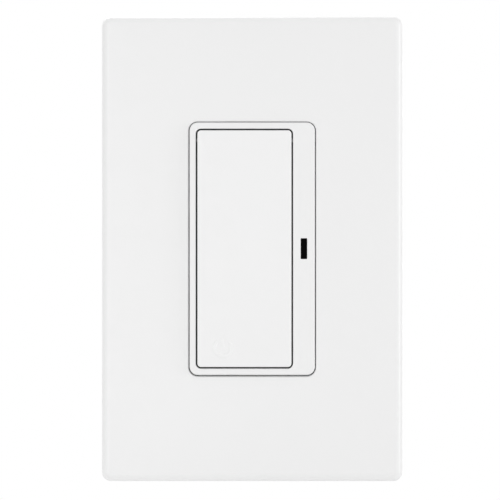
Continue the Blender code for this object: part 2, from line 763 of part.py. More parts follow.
def build_strap():
    body_height = HOUSING_HEIGHT + 2 * (HOUSING_STEP + STRAP_END)
    strap = strap_slab(STRAP_WIDTH, body_height, STRAP_CORNER)
    strap.name = "strap"
    join(strap, strap_slab(EAR_WIDTH, STRAP_LENGTH, EAR_CORNER))
    bend_gap = block(
        "bend",
        (-EAR_WIDTH / 2 - SINK, STRAP_FRONT - FIT, TAB_LEVEL - TAB_WIDTH / 2 - FIT),
        (-EAR_WIDTH / 2 + STRAP_THICK + TAB_BEND, FIT, TAB_LEVEL + TAB_WIDTH / 2 + FIT),
    )
    cut(strap, bend_gap)
    join(strap, ground_tab())
    cutters = [strap_cutter(WINDOW_WIDTH, WINDOW_HEIGHT, STRAP_WINDOW_CORNER, (PAD_OFFSET, 0))]
    lens_slot = LENS_FLANGE - FIT
    cutters.append(strap_cutter(LENS_WIDTH + lens_slot, LENS_HEIGHT + lens_slot, FIT, (STRIP_CENTRE, 0), 2))
    slot_width = LEG_THICK + LEG_TOOTH + 2 * FIT
    for side in (-1, 1):
        slot_x = side * (BEZEL_LEG_X - LEG_TOOTH / 2)
        for level in both_ways(BEZEL_LEG_SPREAD):
            cutters.append(strap_cutter(slot_width, LEG_WIDTH + 2 * FIT, FIT, (slot_x, level), 2))
        slot = 2 * (BOX_SHANK + FIT)
        box_level = side * BOX_SCREW_SPACING / 2
        cutters.append(strap_cutter(slot + 2 * BOX_SLOT_PLAY, slot, slot / 2 - SINK / 2, (0, box_level)))
        cutters.append(strap_hole(UP * side * PLATE_SCREW_SPACING / 2, PLATE_SHANK + FIT))
        end = side * STRAP_LENGTH / 2
        for offset in both_ways(EAR_SLIT_SPREAD):
            near, far = sorted((end + side * SINK, end - side * EAR_SLIT_LENGTH))
            low = (offset - EAR_SLIT / 2, STRAP_FRONT - FIT, near)
            cutters.append(block("slit", low, (offset + EAR_SLIT / 2, FIT, far)))
            cutters.append(ear_score(offset, side))
    cutters += [case_screw_seat(corner) for corner in boss_corners()]
    tab_hole = ((GROUND_SHANK + FIT, -FIT), (GROUND_SHANK + FIT, STRAP_THICK + FIT))
    cutters.append(turned("hole", tab_hole, ground_screw_place(), RIGHT, BORE_SIDES))
    cut(strap, *cutters)
    finish(strap, "zinc_steel")


def ear_score(offset, side):
    """The groove behind an ear's outer corner, from its slit to its edge, where the corner breaks off."""
    near = side * (STRAP_LENGTH / 2 - EAR_SLIT_LENGTH)
    low, high = sorted((near, near + side * EAR_SCORE))
    edge = math.copysign(EAR_WIDTH / 2 + SINK, offset)
    left, right = sorted((offset, edge))
    return block("score", (left, -EAR_SCORE_DEPTH, low), (right, FIT, high))


def case_screw_seat(centre):
    """A countersunk hole through the strap for a housing screw."""
    rim = CASE_HEAD + FIT
    waist = CASE_SHANK + FIT
    top = STRAP_FRONT - FIT
    profile = ((rim, top), (rim, STRAP_FRONT), (waist, STRAP_FRONT + rim - waist), (waist, FIT))
    return turned("seat", profile, centre, BACK, SCREW_SIDES)


def ground_screw_place():
    """Where the ground screw's axis meets the outer face of the strap's tab."""
    return Vector((-EAR_WIDTH / 2, TAB_LENGTH - TAB_WIDTH / 2, TAB_LEVEL))


# Bezel, the device's front frame

def bezel_ring(inset, depth):
    return rounded_ring(
        BEZEL_WIDTH - 2 * inset,
        BEZEL_HEIGHT - 2 * inset,
        BEZEL_CORNER - inset,
        depth,
    )


def well_ring(outset, depth):
    return rounded_ring(
        WELL_WIDTH + 2 * outset,
        WELL_HEIGHT + 2 * outset,
        WELL_CORNER + outset,
        depth,
        (PAD_OFFSET, 0),
    )


def snap_leg(root, outward, run, length):
    """A leg with a tooth that holds behind a plate. It starts at its root and reaches back past the plate."""
    half = LEG_THICK / 2
    tip = length + LEG_TOOTH_DEPTH
    outline = (
        (-half, -SINK),
        (half, -SINK),
        (half, length),
        (half + LEG_TOOTH, length),
        (half + LEG_TOOTH, length + LEG_TOOTH_DEPTH * TOOTH_LAND),
        (half, tip),
        (-half, tip),
    )
    return prism("leg", outline, root, outward, BACK, run, LEG_WIDTH)


def lens_cutters():
    """The slot for the indicator's face, and behind it the wider pocket for its flange."""
    centre = (STRIP_CENTRE, 0)
    pocket = LENS_FLANGE + 2 * FIT
    slot_rings = [
        rounded_ring(LENS_WIDTH, LENS_HEIGHT, LENS_CORNER, depth, centre, 2)
        for depth in (BEZEL_FACE - FIT, LENS_FLANGE_FRONT)
    ]
    pocket_rings = [
        rounded_ring(LENS_WIDTH + pocket, LENS_HEIGHT + pocket, LENS_CORNER, depth, centre, 2)
        for depth in (LENS_FLANGE_FRONT - FIT, BEZEL_REAR + FIT)
    ]
    return [loft("slot", slot_rings), loft("pocket", pocket_rings)]


def strip_cores():
    """Pockets behind the strip, so that its moulding has an even wall."""
    cores = []
    for side in (-1, 1):
        near = side * (LENS_HEIGHT / 2 + CORE_FROM_LENS)
        low, high = sorted((near, near + side * CORE_LENGTH))
        cores.append(
            block(
                "core",
                (WELL_RIGHT + CORE_WALL, BEZEL_FACE + CORE_WALL, low),
                (BEZEL_WIDTH / 2 - CORE_WALL, BEZEL_REAR + FIT, high),
            )
        )
    return cores


def floor_cutters():
    """Holes in the well's floor for the plunger and for the pad's two legs."""
    hole = PLUNGER_RADIUS + FIT
    profile = ((hole, FLOOR_FRONT - FIT), (hole, BEZEL_REAR + FIT))
    cutters = [turned("hole", profile, Vector((PAD_OFFSET, 0, POST_LEVEL)), BACK, BORE_SIDES)]
    bottom = -PAD_LEG_LEVEL - LEG_THICK / 2 - FIT
    top = -PAD_LEG_LEVEL + LEG_THICK / 2 + LEG_TOOTH + FIT
    for offset in both_ways(PAD_LEG_SPREAD):
        middle = PAD_OFFSET + offset
        reach = LEG_WIDTH / 2 + FIT
        low = (middle - reach, FLOOR_FRONT - FIT, bottom)
        cutters.append(block("slot", low, (middle + reach, BEZEL_REAR + FIT, top)))
    return cutters


def build_bezel():
    rings = [bezel_ring(0, BEZEL_REAR), bezel_ring(0, BEZEL_FACE + BEZEL_EDGE)]
    for step in range(1, EDGE_STEPS + 1):
        angle = math.pi / 2 * step / EDGE_STEPS
        rings.append(
            bezel_ring(BEZEL_EDGE * (1 - math.cos(angle)), BEZEL_FACE + BEZEL_EDGE * (1 - math.sin(angle)))
        )
    rings.append(well_ring(WELL_EDGE, BEZEL_FACE))
    rings.append(well_ring(0, BEZEL_FACE + WELL_EDGE))
    rings.append(well_ring(0, FLOOR_FRONT))
    bezel = loft("bezel", rings)
    additions = []
    for side in (-1, 1):
        for level in both_ways(BEZEL_LEG_SPREAD):
            root = Vector((side * BEZEL_LEG_X, BEZEL_REAR, level))
            additions.append(snap_leg(root, side * RIGHT, UP, FIT - BEZEL_REAR))
    for offset in both_ways(SPRING_SPREAD):
        pip = ((SPIGOT_RADIUS, SINK), (SPIGOT_RADIUS, -PIP_HEIGHT))
        centre = Vector((PAD_OFFSET + offset, FLOOR_FRONT, SPRING_LEVEL))
        additions.append(turned("pip", pip, centre, BACK, BORE_SIDES))
    join(bezel, *additions)
    bore = ((ROD_BORE, -BEZEL_WIDTH / 2 - FIT), (ROD_BORE, WELL_RIGHT + ROD_GRIP + FIT))
    rod_hole = turned("bore", bore, Vector((0, ROD_DEPTH, ROD_LEVEL)), RIGHT, BORE_SIDES)
    cut(bezel, rod_hole, *lens_cutters(), *strip_cores(), *floor_cutters())
    finish(bezel, "white_moulding")


def build_indicator():
    """The smoked light guide: its face, the flange that keeps it in, and its tail down to the lamp."""
    centre = (STRIP_CENTRE, 0)
    face_width = LENS_WIDTH - 2 * LENS_GAP
    face_height = LENS_HEIGHT - 2 * LENS_GAP
    steps = (
        (0, BEZEL_FACE + LENS_SUNK),
        (0, LENS_FLANGE_FRONT + FIT),
        (LENS_FLANGE, LENS_FLANGE_FRONT + FIT),
        (LENS_FLANGE, LENS_FLANGE_FRONT + FIT + LENS_FLANGE_DEPTH),
        (-LENS_GAP, LENS_FLANGE_FRONT + FIT + LENS_FLANGE_DEPTH),
        (-LENS_GAP, LED_FRONT - FIT),
    )
    rings = [
        rounded_ring(face_width + wider, face_height + wider, LENS_CORNER, depth, centre, 2)
        for wider, depth in steps
    ]
    finish(loft("indicator_lens", rings), "smoked_lens")
    rear = CONTROL_FRONT - FIT
    lamp = soft_block("status_led", LED_WIDTH, LED_HEIGHT, FIT, LED_FRONT, rear, FIT / 2, centre)
    finish(lamp, "led_body")


# Push pad and the rod that it hinges on

def pad_ring(inset, depth):
    return rounded_ring(
        PAD_WIDTH - 2 * inset,
        PAD_HEIGHT - 2 * inset,
        max(PAD_CORNER - inset, SINK),
        depth,
        (PAD_OFFSET, 0),
    )


def hinge_ear(offset):
    """A round ear behind the pad's skin, which the rod runs through."""
    place = Vector((PAD_OFFSET + offset, ROD_DEPTH, ROD_LEVEL))
    ends = ((EAR_RADIUS, -EAR_THICK / 2), (EAR_RADIUS, EAR_THICK / 2))
    return turned("ear", ends, place, RIGHT, CAN_SIDES)


def ear_web(offset):
    """The wall that carries an ear from the pad's skin to the ear's middle."""
    middle = PAD_OFFSET + offset
    return block(
        "web",
        (middle - EAR_THICK / 2, PAD_INSIDE - SINK, ROD_LEVEL - EAR_RADIUS),
        (middle + EAR_THICK / 2, ROD_DEPTH, PAD_HEIGHT / 2 - PAD_WALL + SINK),
    )


def pad_ribs():
    """Shallow ribs that stiffen the pad's skin: two along it and a row across it."""
    rear = PAD_INSIDE + PAD_RIB_HEIGHT
    top = ROD_LEVEL - EAR_RADIUS - PAD_RIB
    bottom = -PAD_HEIGHT / 2 + PAD_WALL - SINK
    ribs = []
    for offset in both_ways(PAD_LONG_RIB_SPREAD):
        middle = PAD_OFFSET + offset
        low = (middle - PAD_RIB / 2, PAD_INSIDE - SINK, bottom)
        ribs.append(block("rib", low, (middle + PAD_RIB / 2, rear, top)))
    reach = PAD_WIDTH / 2 - PAD_WALL + SINK
    for number in range(PAD_CROSS_RIBS):
        level = top - number * PAD_CROSS_RIB_PITCH
        low = (PAD_OFFSET - reach, PAD_INSIDE - SINK, level - PAD_RIB)
        ribs.append(block("rib", low, (PAD_OFFSET + reach, rear, level)))
    return ribs


def pad_post(level, offset, radius, rear):
    profile = ((radius, PAD_INSIDE - SINK), (radius, rear))
    return turned("post", profile, Vector((PAD_OFFSET + offset, 0, level)), BACK, BORE_SIDES)


def build_push_pad(hinge):
    rings = [pad_ring(PAD_WALL, PAD_INSIDE), pad_ring(PAD_WALL, PAD_REAR), pad_ring(0, PAD_REAR)]
    rings.append(pad_ring(0, PAD_FACE + PAD_EDGE))
    for step in range(1, EDGE_STEPS + 1):
        angle = math.pi / 2 * step / EDGE_STEPS
        rings.append(pad_ring(PAD_EDGE * (1 - math.cos(angle)), PAD_FACE + PAD_EDGE * (1 - math.sin(angle))))
    pad = loft("push_pad", rings)
    ears = both_ways(EAR_SPREAD)
    join(pad, *[ear_web(offset) for offset in ears])
    join(pad, *[hinge_ear(offset) for offset in ears])
    join(pad, *pad_ribs())
    posts = [pad_post(POST_LEVEL, 0, PLUNGER_RADIUS, PLUNGER_TIP - FIT)]
    for offset in both_ways(SPRING_SPREAD):
        posts.append(pad_post(SPRING_LEVEL, offset, SPIGOT_RADIUS, PAD_INSIDE + SPIGOT_HEIGHT))
    join(pad, *posts)
    legs = []
    for offset in both_ways(PAD_LEG_SPREAD):
        root = Vector((PAD_OFFSET + offset, PAD_INSIDE, -PAD_LEG_LEVEL))
        legs.append(snap_leg(root, -UP, RIGHT, BEZEL_REAR + FIT - PAD_INSIDE))
    join(pad, *legs)
    cut(pad, *ear_bores())
    finish(pad, "white_moulding", hinge.location.copy(), hinge)


def ear_bores():
    """The bore for the rod through the ears and the pad's sides, and the mouths that let the ears clip on."""
    reach = PAD_WIDTH / 2 + FIT
    bore = ((ROD_BORE, -reach), (ROD_BORE, reach))
    axis_place = Vector((PAD_OFFSET, ROD_DEPTH, ROD_LEVEL))
    cutters = [turned("bore", bore, axis_place, RIGHT, BORE_SIDES)]
    cutters.append(
        block(
            "mouth",
            (PAD_OFFSET - reach, ROD_DEPTH, ROD_LEVEL - EAR_MOUTH / 2),
            (PAD_OFFSET + reach, ROD_DEPTH + EAR_RADIUS + FIT, ROD_LEVEL + EAR_MOUTH / 2),
        )
    )
    return cutters


def build_hinge_rod():
    start = -BEZEL_WIDTH / 2 + FIT
    end = WELL_RIGHT + ROD_GRIP
    tip = ROD_RADIUS / 3
    profile = (
        (ROD_RADIUS - tip, start),
        (ROD_RADIUS, start + tip),
        (ROD_RADIUS, end - tip),
        (ROD_RADIUS - tip, end),
    )
    rod = turned("hinge_rod", profile, Vector((0, ROD_DEPTH, ROD_LEVEL)), RIGHT, SCREW_SIDES)
    finish(rod, "spring_steel")


# Return springs and the momentary switch

def spring_rings(centre, front, rear):
    """Rings of the spring's wire along its helix."""
    steps = round(SPRING_TURNS * SPRING_STEPS_PER_TURN)
    travel = rear - front - 2 * SPRING_WIRE
    rings = []
    for step in range(steps + 1):
        angle = SPRING_TURNS * math.tau * step / steps
        outward = RIGHT * math.cos(angle) + UP * math.sin(angle)
        depth = front + SPRING_WIRE + travel * step / steps
        place = centre + outward * SPRING_RADIUS + BACK * depth
        ring = []
        for side in range(SPRING_SIDES):
            turn = math.tau * side / SPRING_SIDES
            ring.append(place + SPRING_WIRE * (outward * math.cos(turn) + BACK * math.sin(turn)))
        rings.append(ring)
    return rings


def build_springs():
    places = zip(("return_spring_left", "return_spring_right"), both_ways(SPRING_SPREAD))
    for name, offset in places:
        centre = Vector((PAD_OFFSET + offset, 0, SPRING_LEVEL))
        spring = loft(name, spring_rings(centre, PAD_INSIDE + FIT, FLOOR_FRONT - FIT))
        finish(spring, "spring_steel", centre)


def build_tact_switch(guide):
    seat = CONTROL_FRONT - FIT
    front = seat - TACT_HEIGHT
    centre = (PAD_OFFSET, POST_LEVEL)
    body = soft_block("tact_switch", TACT_WIDTH, TACT_WIDTH, FIT, front, seat, TACT_EDGE, centre)
    place = Vector((PAD_OFFSET, 0, POST_LEVEL))
    bore = PLUNGER_RADIUS + FIT
    floor = seat - TACT_BASE
    cut(body, turned("bore", ((bore, front - FIT), (bore, floor)), place, BACK, BORE_SIDES))
    finish(body, "chip_case")
    rear = floor - FIT - PLUNGER_TRAVEL
    profile = (
        (PLUNGER_RADIUS - PLUNGER_EDGE, PLUNGER_TIP),
        (PLUNGER_RADIUS, PLUNGER_TIP + PLUNGER_EDGE),
        (PLUNGER_RADIUS, rear),
    )
    plunger = turned("switch_plunger", profile, place, BACK, BORE_SIDES)
    finish(plunger, "dark_moulding", guide.location.copy(), guide)


# Screws of the strap and the cover, and the washers that keep the box screws

def build_strap_screws():
    box_screw = pan_screw(
        "box_screw_bottom",
        Vector((0, STRAP_FRONT - FIT, 0)),
        BACK,
        BOX_SHANK,
        BOX_HEAD,
        BOX_HEAD_HEIGHT,
        BOX_SCREW_LENGTH,
    )
    plate_screw = pan_screw(
        "plate_screw_bottom",
        Vector((0, WEB_FRONT - FIT, 0)),
        BACK,
        PLATE_SHANK,
        PLATE_HEAD,
        PLATE_HEAD_HEIGHT,
        PLATE_SCREW_LENGTH,
    )
    depths = (FIT, FIT + RETAINER_THICK)
    rings = [rounded_ring(RETAINER_SIZE, RETAINER_SIZE, RETAINER_CORNER, d, steps=EDGE_STEPS) for d in depths]
    washer = loft("retainer_bottom", rings)
    hole = BOX_SHANK + FIT
    cut(washer, turned("hole", ((hole, 0), (hole, depths[1] + FIT)), Vector(), BACK, BORE_SIDES))
    for piece, look, spacing in (
        (box_screw, "zinc_steel", BOX_SCREW_SPACING),
        (plate_screw, "zinc_steel", PLATE_SCREW_SPACING),
        (washer, "fibre", BOX_SCREW_SPACING),
    ):
        finish(piece, look)
        piece.location = -UP * spacing / 2
        copy_of(piece, piece.name.replace("bottom", "top"), UP * spacing)


def build_ground_screw():
    seat = ground_screw_place() - RIGHT * FIT
    screw = pan_screw(
        "ground_screw",
        seat,
        RIGHT,
        GROUND_SHANK,
        GROUND_HEAD,
        GROUND_HEAD_HEIGHT,
        GROUND_SCREW_LENGTH,
    )
    finish(screw, "green_steel", seat)


def build_case_screws():
    face = Vector((0, STRAP_FRONT, 0))
    screw = flat_screw("housing_screw_1", face, BACK, CASE_SHANK, CASE_HEAD, CASE_SCREW_LENGTH)
    finish(screw, "zinc_steel")
    first, *others = boss_corners()
    screw.location = first
    for number, corner in enumerate(others, start=2):
        copy_of(screw, f"housing_screw_{number}", corner - first)


# Rear housing

def housing_ring(inset, depth):
    return rounded_ring(
        HOUSING_WIDTH - 2 * inset,
        HOUSING_HEIGHT - 2 * inset,
        max(HOUSING_CORNER - inset, SINK),
        depth,
    )


def housing_boss(centre):
    """A corner boss in three steps: the narrow neck carries the strap, and its shoulders carry the boards."""
    middle = BOSS_RADIUS + BOSS_STEP
    profile = (
        (BOSS_RADIUS, FIT),
        (BOSS_RADIUS, CONTROL_REAR + FIT),
        (middle, CONTROL_REAR + FIT),
        (middle, POWER_REAR + FIT),
        (BOSS_FOOT, POWER_REAR + FIT),
        (BOSS_FOOT, HOUSING_FLOOR + SINK),
    )
    return turned("boss", profile, centre, BACK, BORE_SIDES)


def boss_corners():
    """The axes of the four corner bosses and of their screws."""
    return [Vector((x, 0, z)) for x in both_ways(2 * BOSS_X) for z in both_ways(2 * BOSS_Z)]


def terminal_places():
    """Each terminal's side of the housing and its level."""
    return [(side, level) for side in (-1, 1) for level in both_ways(TERMINAL_SPREAD)]


def span(name, side, near, far, front, rear, low, high):
    """A box given by its distances from the middle on one side."""
    x0, x1 = sorted((side * near, side * far))
    return block(name, (x0, front, low), (x1, rear, high))


def build_housing():
    rings = [
        housing_ring(HOUSING_WALL + HOUSING_DRAFT, HOUSING_FLOOR),
        housing_ring(HOUSING_WALL, FIT),
        housing_ring(-HOUSING_STEP, FIT),
        housing_ring(-HOUSING_STEP, HOUSING_FLANGE),
        housing_ring(0, HOUSING_FLANGE + HOUSING_STEP),
    ]
    for step in range(EDGE_STEPS + 1):
        angle = math.pi / 2 * step / EDGE_STEPS
        inset = HOUSING_DRAFT + HOUSING_EDGE * (1 - math.cos(angle))
        rings.append(housing_ring(inset, HOUSING_REAR - HOUSING_EDGE * (1 - math.sin(angle))))
    housing = loft("rear_housing", rings)
    join(housing, *[housing_boss(corner) for corner in boss_corners()])
    bay_front = POWER_REAR + FIT
    bays, channels, pockets = [], [], []
    for side, level in terminal_places():
        low, high = level - BAY_HEIGHT / 2, level + BAY_HEIGHT / 2
        inner = BAY_INNER - BAY_WALL
        outer = HOUSING_WIDTH / 2 - HOUSING_WALL + SINK
        rear = HOUSING_FLOOR + SINK
        bays.append(span("bay", side, inner, outer, bay_front, rear, low - BAY_WALL, high + BAY_WALL))
        beyond = HOUSING_WIDTH / 2 + FIT
        channels.append(
            span(
                "channel",
                side,
                CHANNEL_X,
                beyond,
                bay_front - CHANNEL_MARGIN,
                HOUSING_REAR + FIT,
                low - CHANNEL_MARGIN,
                high + CHANNEL_MARGIN,
            )
        )
        pockets.append(span("pocket", side, BAY_INNER, beyond, bay_front - SINK, HOUSING_FLOOR, low, high))
        pockets += wire_holes(side, level)
    join(housing, *bays)
    cut(housing, *channels)
    cut(housing, *pockets, *[pilot_hole(corner) for corner in boss_corners()], rear_panel())
    finish(housing, "dark_moulding")


def wire_holes(side, level):
    """The two round entries behind a terminal, one either side of its screw, with a funnel at each mouth."""
    middle = side * (CLAMP_OUTER - CLAMP_THICK - WIRE_GAP / 2)
    mouth = WIRE_HOLE_RADIUS + WIRE_FUNNEL
    profile = (
        (WIRE_HOLE_RADIUS, HOUSING_FLOOR - SINK),
        (WIRE_HOLE_RADIUS, HOUSING_REAR - WIRE_FUNNEL),
        (mouth, HOUSING_REAR),
        (mouth, HOUSING_REAR + FIT),
    )
    return [
        turned("hole", profile, Vector((middle, 0, level + offset)), BACK, BORE_SIDES)
        for offset in both_ways(WIRE_HOLE_SPREAD)
    ]


def pilot_hole(corner):
    radius = CASE_SHANK + FIT
    profile = ((radius, -FIT), (radius, STRAP_FRONT + CASE_SCREW_LENGTH + 2 * FIT))
    return turned("pilot", profile, corner, BACK, SCREW_SIDES)


def rear_panel():
    """The shallow bare panel moulded in the housing's back."""
    away = HOUSING_DRAFT + PANEL_MARGIN
    rings = [
        rounded_ring(
            HOUSING_WIDTH - 2 * away,
            HOUSING_HEIGHT - 2 * away,
            HOUSING_CORNER,
            depth,
            steps=EDGE_STEPS,
        )
        for depth in (HOUSING_REAR - PANEL_DEPTH, HOUSING_REAR + FIT)
    ]
    return loft("panel", rings)


# Circuit boards

def board(name, front, notch):
    """A circuit board with its corners cut round the housing's bosses."""
    rings = [
        rounded_ring(BOARD_WIDTH, BOARD_HEIGHT, BOARD_CORNER, depth, steps=2)
        for depth in (front, front + BOARD_THICK)
    ]
    piece = loft(name, rings)
    profile = ((notch, front - FIT), (notch, front + BOARD_THICK + FIT))
    cut(piece, *[turned("notch", profile, corner, BACK, BORE_SIDES) for corner in boss_corners()])
    return piece


def build_boards():
    control = board("control_board", CONTROL_FRONT, BOSS_RADIUS + FIT)
    finish(control, "board")
    power = board("power_board", POWER_FRONT, BOSS_RADIUS + BOSS_STEP + FIT)
    slots = []
    for side, level in terminal_places():
        low = level - TERMINAL_LEG / 2 - FIT
        high = level + TERMINAL_LEG / 2 + FIT
        near = TERMINAL_INNER - FIT
        far = TERMINAL_OUTER + FIT
        slots.append(span("slot", side, near, far, POWER_FRONT - FIT, POWER_REAR + FIT, low, high))
    cut(power, *slots)
    finish(power, "board")


def build_radio():
    top = WINDOW_HEIGHT / 2 - RADIO_FROM_WINDOW
    centre = (PAD_OFFSET, top - RADIO_HEIGHT / 2)
    rear = CONTROL_FRONT - FIT
    rings = [
        rounded_ring(RADIO_WIDTH, RADIO_HEIGHT, BOARD_CORNER, depth, centre, 2)
        for depth in (rear - RADIO_THICK, rear)
    ]
    finish(loft("radio_board", rings), "board")
    width = RADIO_WIDTH - 2 * SHIELD_MARGIN
    height = RADIO_HEIGHT - SHIELD_MARGIN - SHIELD_TOP_MARGIN
    can_centre = (PAD_OFFSET, top - SHIELD_TOP_MARGIN - height / 2)
    can_rear = rear - RADIO_THICK - FIT
    can = soft_block(
        "radio_shield",
        width,
        height,
        SHIELD_CORNER,
        can_rear - SHIELD_THICK,
        can_rear,
        SHIELD_CORNER / 4,
        can_centre,
    )
    finish(can, "zinc_steel")


def build_header():
    """The pin header between the boards: two bars joined by a row of square pins."""
    level = BOARD_HEIGHT / 2 - HEADER_BODY
    half = HEADER_PINS * HEADER_PITCH / 2
    front = CONTROL_REAR + FIT
    rear = PART_SEAT
    low, high = level - HEADER_BODY / 2, level + HEADER_BODY / 2
    header = block("board_header", (-half, front, low), (half, front + HEADER_BODY, high))
    bar = block("bar", (-half, rear - HEADER_BODY, low), (half, rear, high))
    pins = []
    for number in range(HEADER_PINS):
        middle = (number + 0.5) * HEADER_PITCH - half
        start = (middle - HEADER_PIN / 2, front + HEADER_BODY - SINK, level - HEADER_PIN / 2)
        end = (middle + HEADER_PIN / 2, rear - HEADER_BODY + SINK, level + HEADER_PIN / 2)
        pins.append(block("pin", start, end))
    join(header, *pins)
    join(header, bar)
    finish(header, "chip_case")


# Parts on the power board: a column up either side of its front

def build_relay(middle, low):
    centre = (middle, low + RELAY_LENGTH / 2)
    front = PART_SEAT - RELAY_HEIGHT
    relay = soft_block("relay", RELAY_WIDTH, RELAY_LENGTH, RELAY_EDGE, front, PART_SEAT, RELAY_EDGE, centre)
    finish(relay, "relay_case")


def build_transformer(middle, low):
    """A ferrite block with two windows, and the winding that runs through them round its middle limb."""
    front = PART_SEAT - CORE_BLOCK_HEIGHT
    coil_out = COIL_SPACE - FIT
    level = low + CORE_BLOCK_THICK / 2 + coil_out
    half = CORE_BLOCK_THICK / 2
    half_width = CORE_BLOCK_WIDTH / 2
    core = block(
        "transformer_core",
        (middle - half_width, front, level - half),
        (middle + half_width, PART_SEAT, level + half),
    )
    windows = []
    for side in (-1, 1):
        x0, x1 = sorted((middle + side * CORE_MIDDLE / 2, middle + side * (CORE_MIDDLE / 2 + COIL_SPACE)))
        low_corner = (x0, front + CORE_LIMB, level - half - FIT)
        windows.append(block("window", low_corner, (x1, PART_SEAT - CORE_LIMB, level + half + FIT)))
    cut(core, *windows)
    finish(core, "ferrite")
    inner_width = CORE_MIDDLE + 2 * FIT
    inner_height = CORE_BLOCK_THICK + 2 * FIT
    wall = coil_out - FIT
    ends = (front + CORE_LIMB + FIT, PART_SEAT - CORE_LIMB - FIT)
    rings = []
    for outset, depth in ((0, ends[0]), (wall, ends[0]), (wall, ends[1]), (0, ends[1])):
        width = inner_width + 2 * outset
        height = inner_height + 2 * outset
        rings.append(rounded_ring(width, height, SINK + outset, depth, (middle, level), EDGE_STEPS))
    finish(loft("transformer_coil", rings, closed=True), "winding_tape")


def build_can(name, middle, level, radius, height):
    """A can capacitor with rounded ends and a crimp groove near its foot."""
    front = PART_SEAT - height
    groove = PART_SEAT - CAN_GROOVE_HEIGHT
    profile = (
        (radius - 2 * CAN_GROOVE, front),
        (radius, front + 2 * CAN_GROOVE),
        (radius, groove - CAN_GROOVE),
        (radius - CAN_GROOVE, groove),
        (radius, groove + CAN_GROOVE),
        (radius, PART_SEAT - CAN_GROOVE),
        (radius - CAN_GROOVE, PART_SEAT),
    )
    finish(turned(name, profile, Vector((middle, 0, level)), BACK, CAN_SIDES), "can_sleeve")


def build_film_capacitor(middle, low):
    centre = (middle, low + FILM_DEPTH / 2)
    front = PART_SEAT - FILM_HEIGHT
    size = (FILM_WIDTH, FILM_DEPTH, FILM_EDGE)
    finish(soft_block("film_capacitor", *size, front, PART_SEAT, FILM_EDGE, centre), "film_case")


def build_varistor(middle, low):
    """A standing disc with rounded faces."""
    half = VARISTOR_THICK / 2
    place = Vector((middle, PART_SEAT - VARISTOR_RADIUS, low + half))
    profile = (
        (VARISTOR_RADIUS * 0.8, -half),
        (VARISTOR_RADIUS, -half / 2),
        (VARISTOR_RADIUS, half / 2),
        (VARISTOR_RADIUS * 0.8, half),
    )
    finish(turned("varistor", profile, place, UP, CAN_SIDES), "varistor_coat")


def build_resistor(middle, low):
    """A lying resistor with a raised cap at either end."""
    half = RESISTOR_LENGTH / 2
    slim = RESISTOR_RADIUS - FIT / 2
    edge = FIT
    place = Vector((middle, PART_SEAT - RESISTOR_RADIUS, low + RESISTOR_RADIUS))
    profile = (
        (RESISTOR_RADIUS - edge, -half),
        (RESISTOR_RADIUS, edge - half),
        (RESISTOR_RADIUS, RESISTOR_CAP - half),
        (slim, RESISTOR_CAP + edge - half),
        (slim, half - RESISTOR_CAP - edge),
        (RESISTOR_RADIUS, half - RESISTOR_CAP),
        (RESISTOR_RADIUS, half - edge),
        (RESISTOR_RADIUS - edge, half),
    )
    finish(turned("fusible_resistor", profile, place, RIGHT, SCREW_SIDES), "resistor_body")


def build_rectifier(middle, low):
    centre = (middle, low + RECTIFIER_LENGTH / 2)
    front = PART_SEAT - RECTIFIER_HEIGHT
    piece = soft_block(
        "rectifier",
        RECTIFIER_WIDTH,
        RECTIFIER_LENGTH,
        RECTIFIER_EDGE,
        front,
        PART_SEAT,
        RECTIFIER_EDGE,
        centre,
    )
    finish(piece, "chip_case")


def build_power_parts():
    """Both columns start at the lower bosses and are stacked with one spacing."""
    start = -BOSS_Z + BOSS_FOOT + PART_SPACING
    left = -COLUMN_EDGE + RELAY_WIDTH / 2
    level = start
    build_relay(left, level)
    level += RELAY_LENGTH + PART_SPACING
    build_film_capacitor(-COLUMN_EDGE + FILM_WIDTH / 2, level)
    level += FILM_DEPTH + PART_SPACING
    build_varistor(-COLUMN_EDGE + VARISTOR_RADIUS, level)
    right = COLUMN_EDGE - CORE_BLOCK_WIDTH / 2
    level = start
    build_transformer(right, level)
    level += CORE_BLOCK_THICK + 2 * (COIL_SPACE - FIT) + PART_SPACING
    build_can("bulk_capacitor", COLUMN_EDGE - BULK_RADIUS, level + BULK_RADIUS, BULK_RADIUS, BULK_HEIGHT)
    output_x = COLUMN_EDGE - 2 * BULK_RADIUS - PART_SPACING - OUTPUT_RADIUS
    build_can("output_capacitor", output_x, level + BULK_RADIUS, OUTPUT_RADIUS, OUTPUT_HEIGHT)
    level += 2 * BULK_RADIUS + PART_SPACING
    build_resistor(COLUMN_EDGE - RESISTOR_LENGTH / 2, level)
    level += 2 * RESISTOR_RADIUS + PART_SPACING
    build_rectifier(COLUMN_EDGE - RECTIFIER_WIDTH / 2, level)


# Screw terminals in the housing's side bays

def terminal_plate(name, side, level):
    """A brass plate with a tapped hole, and a leg through the power board."""
    front = POWER_REAR + FIT
    half = TERMINAL_SIZE / 2
    rear = front + TERMINAL_SIZE
    plate = span(name, side, TERMINAL_INNER, TERMINAL_OUTER, front, rear, level - half, level + half)
    leg_half = TERMINAL_LEG / 2
    leg = span(
        "leg",
        side,
        TERMINAL_INNER,
        TERMINAL_OUTER,
        POWER_FRONT,
        front + SINK,
        level - leg_half,
        level + leg_half,
    )
    join(plate, leg)
    cut(plate, terminal_bore(side, level))
    finish(plate, "brass")


def terminal_bore(side, level):
    bore = TERMINAL_SHANK + FIT
    profile = ((bore, TERMINAL_INNER - FIT), (bore, CLAMP_OUTER + FIT))
    return turned("bore", profile, Vector((0, TERMINAL_DEPTH, level)), side * RIGHT, BORE_SIDES)


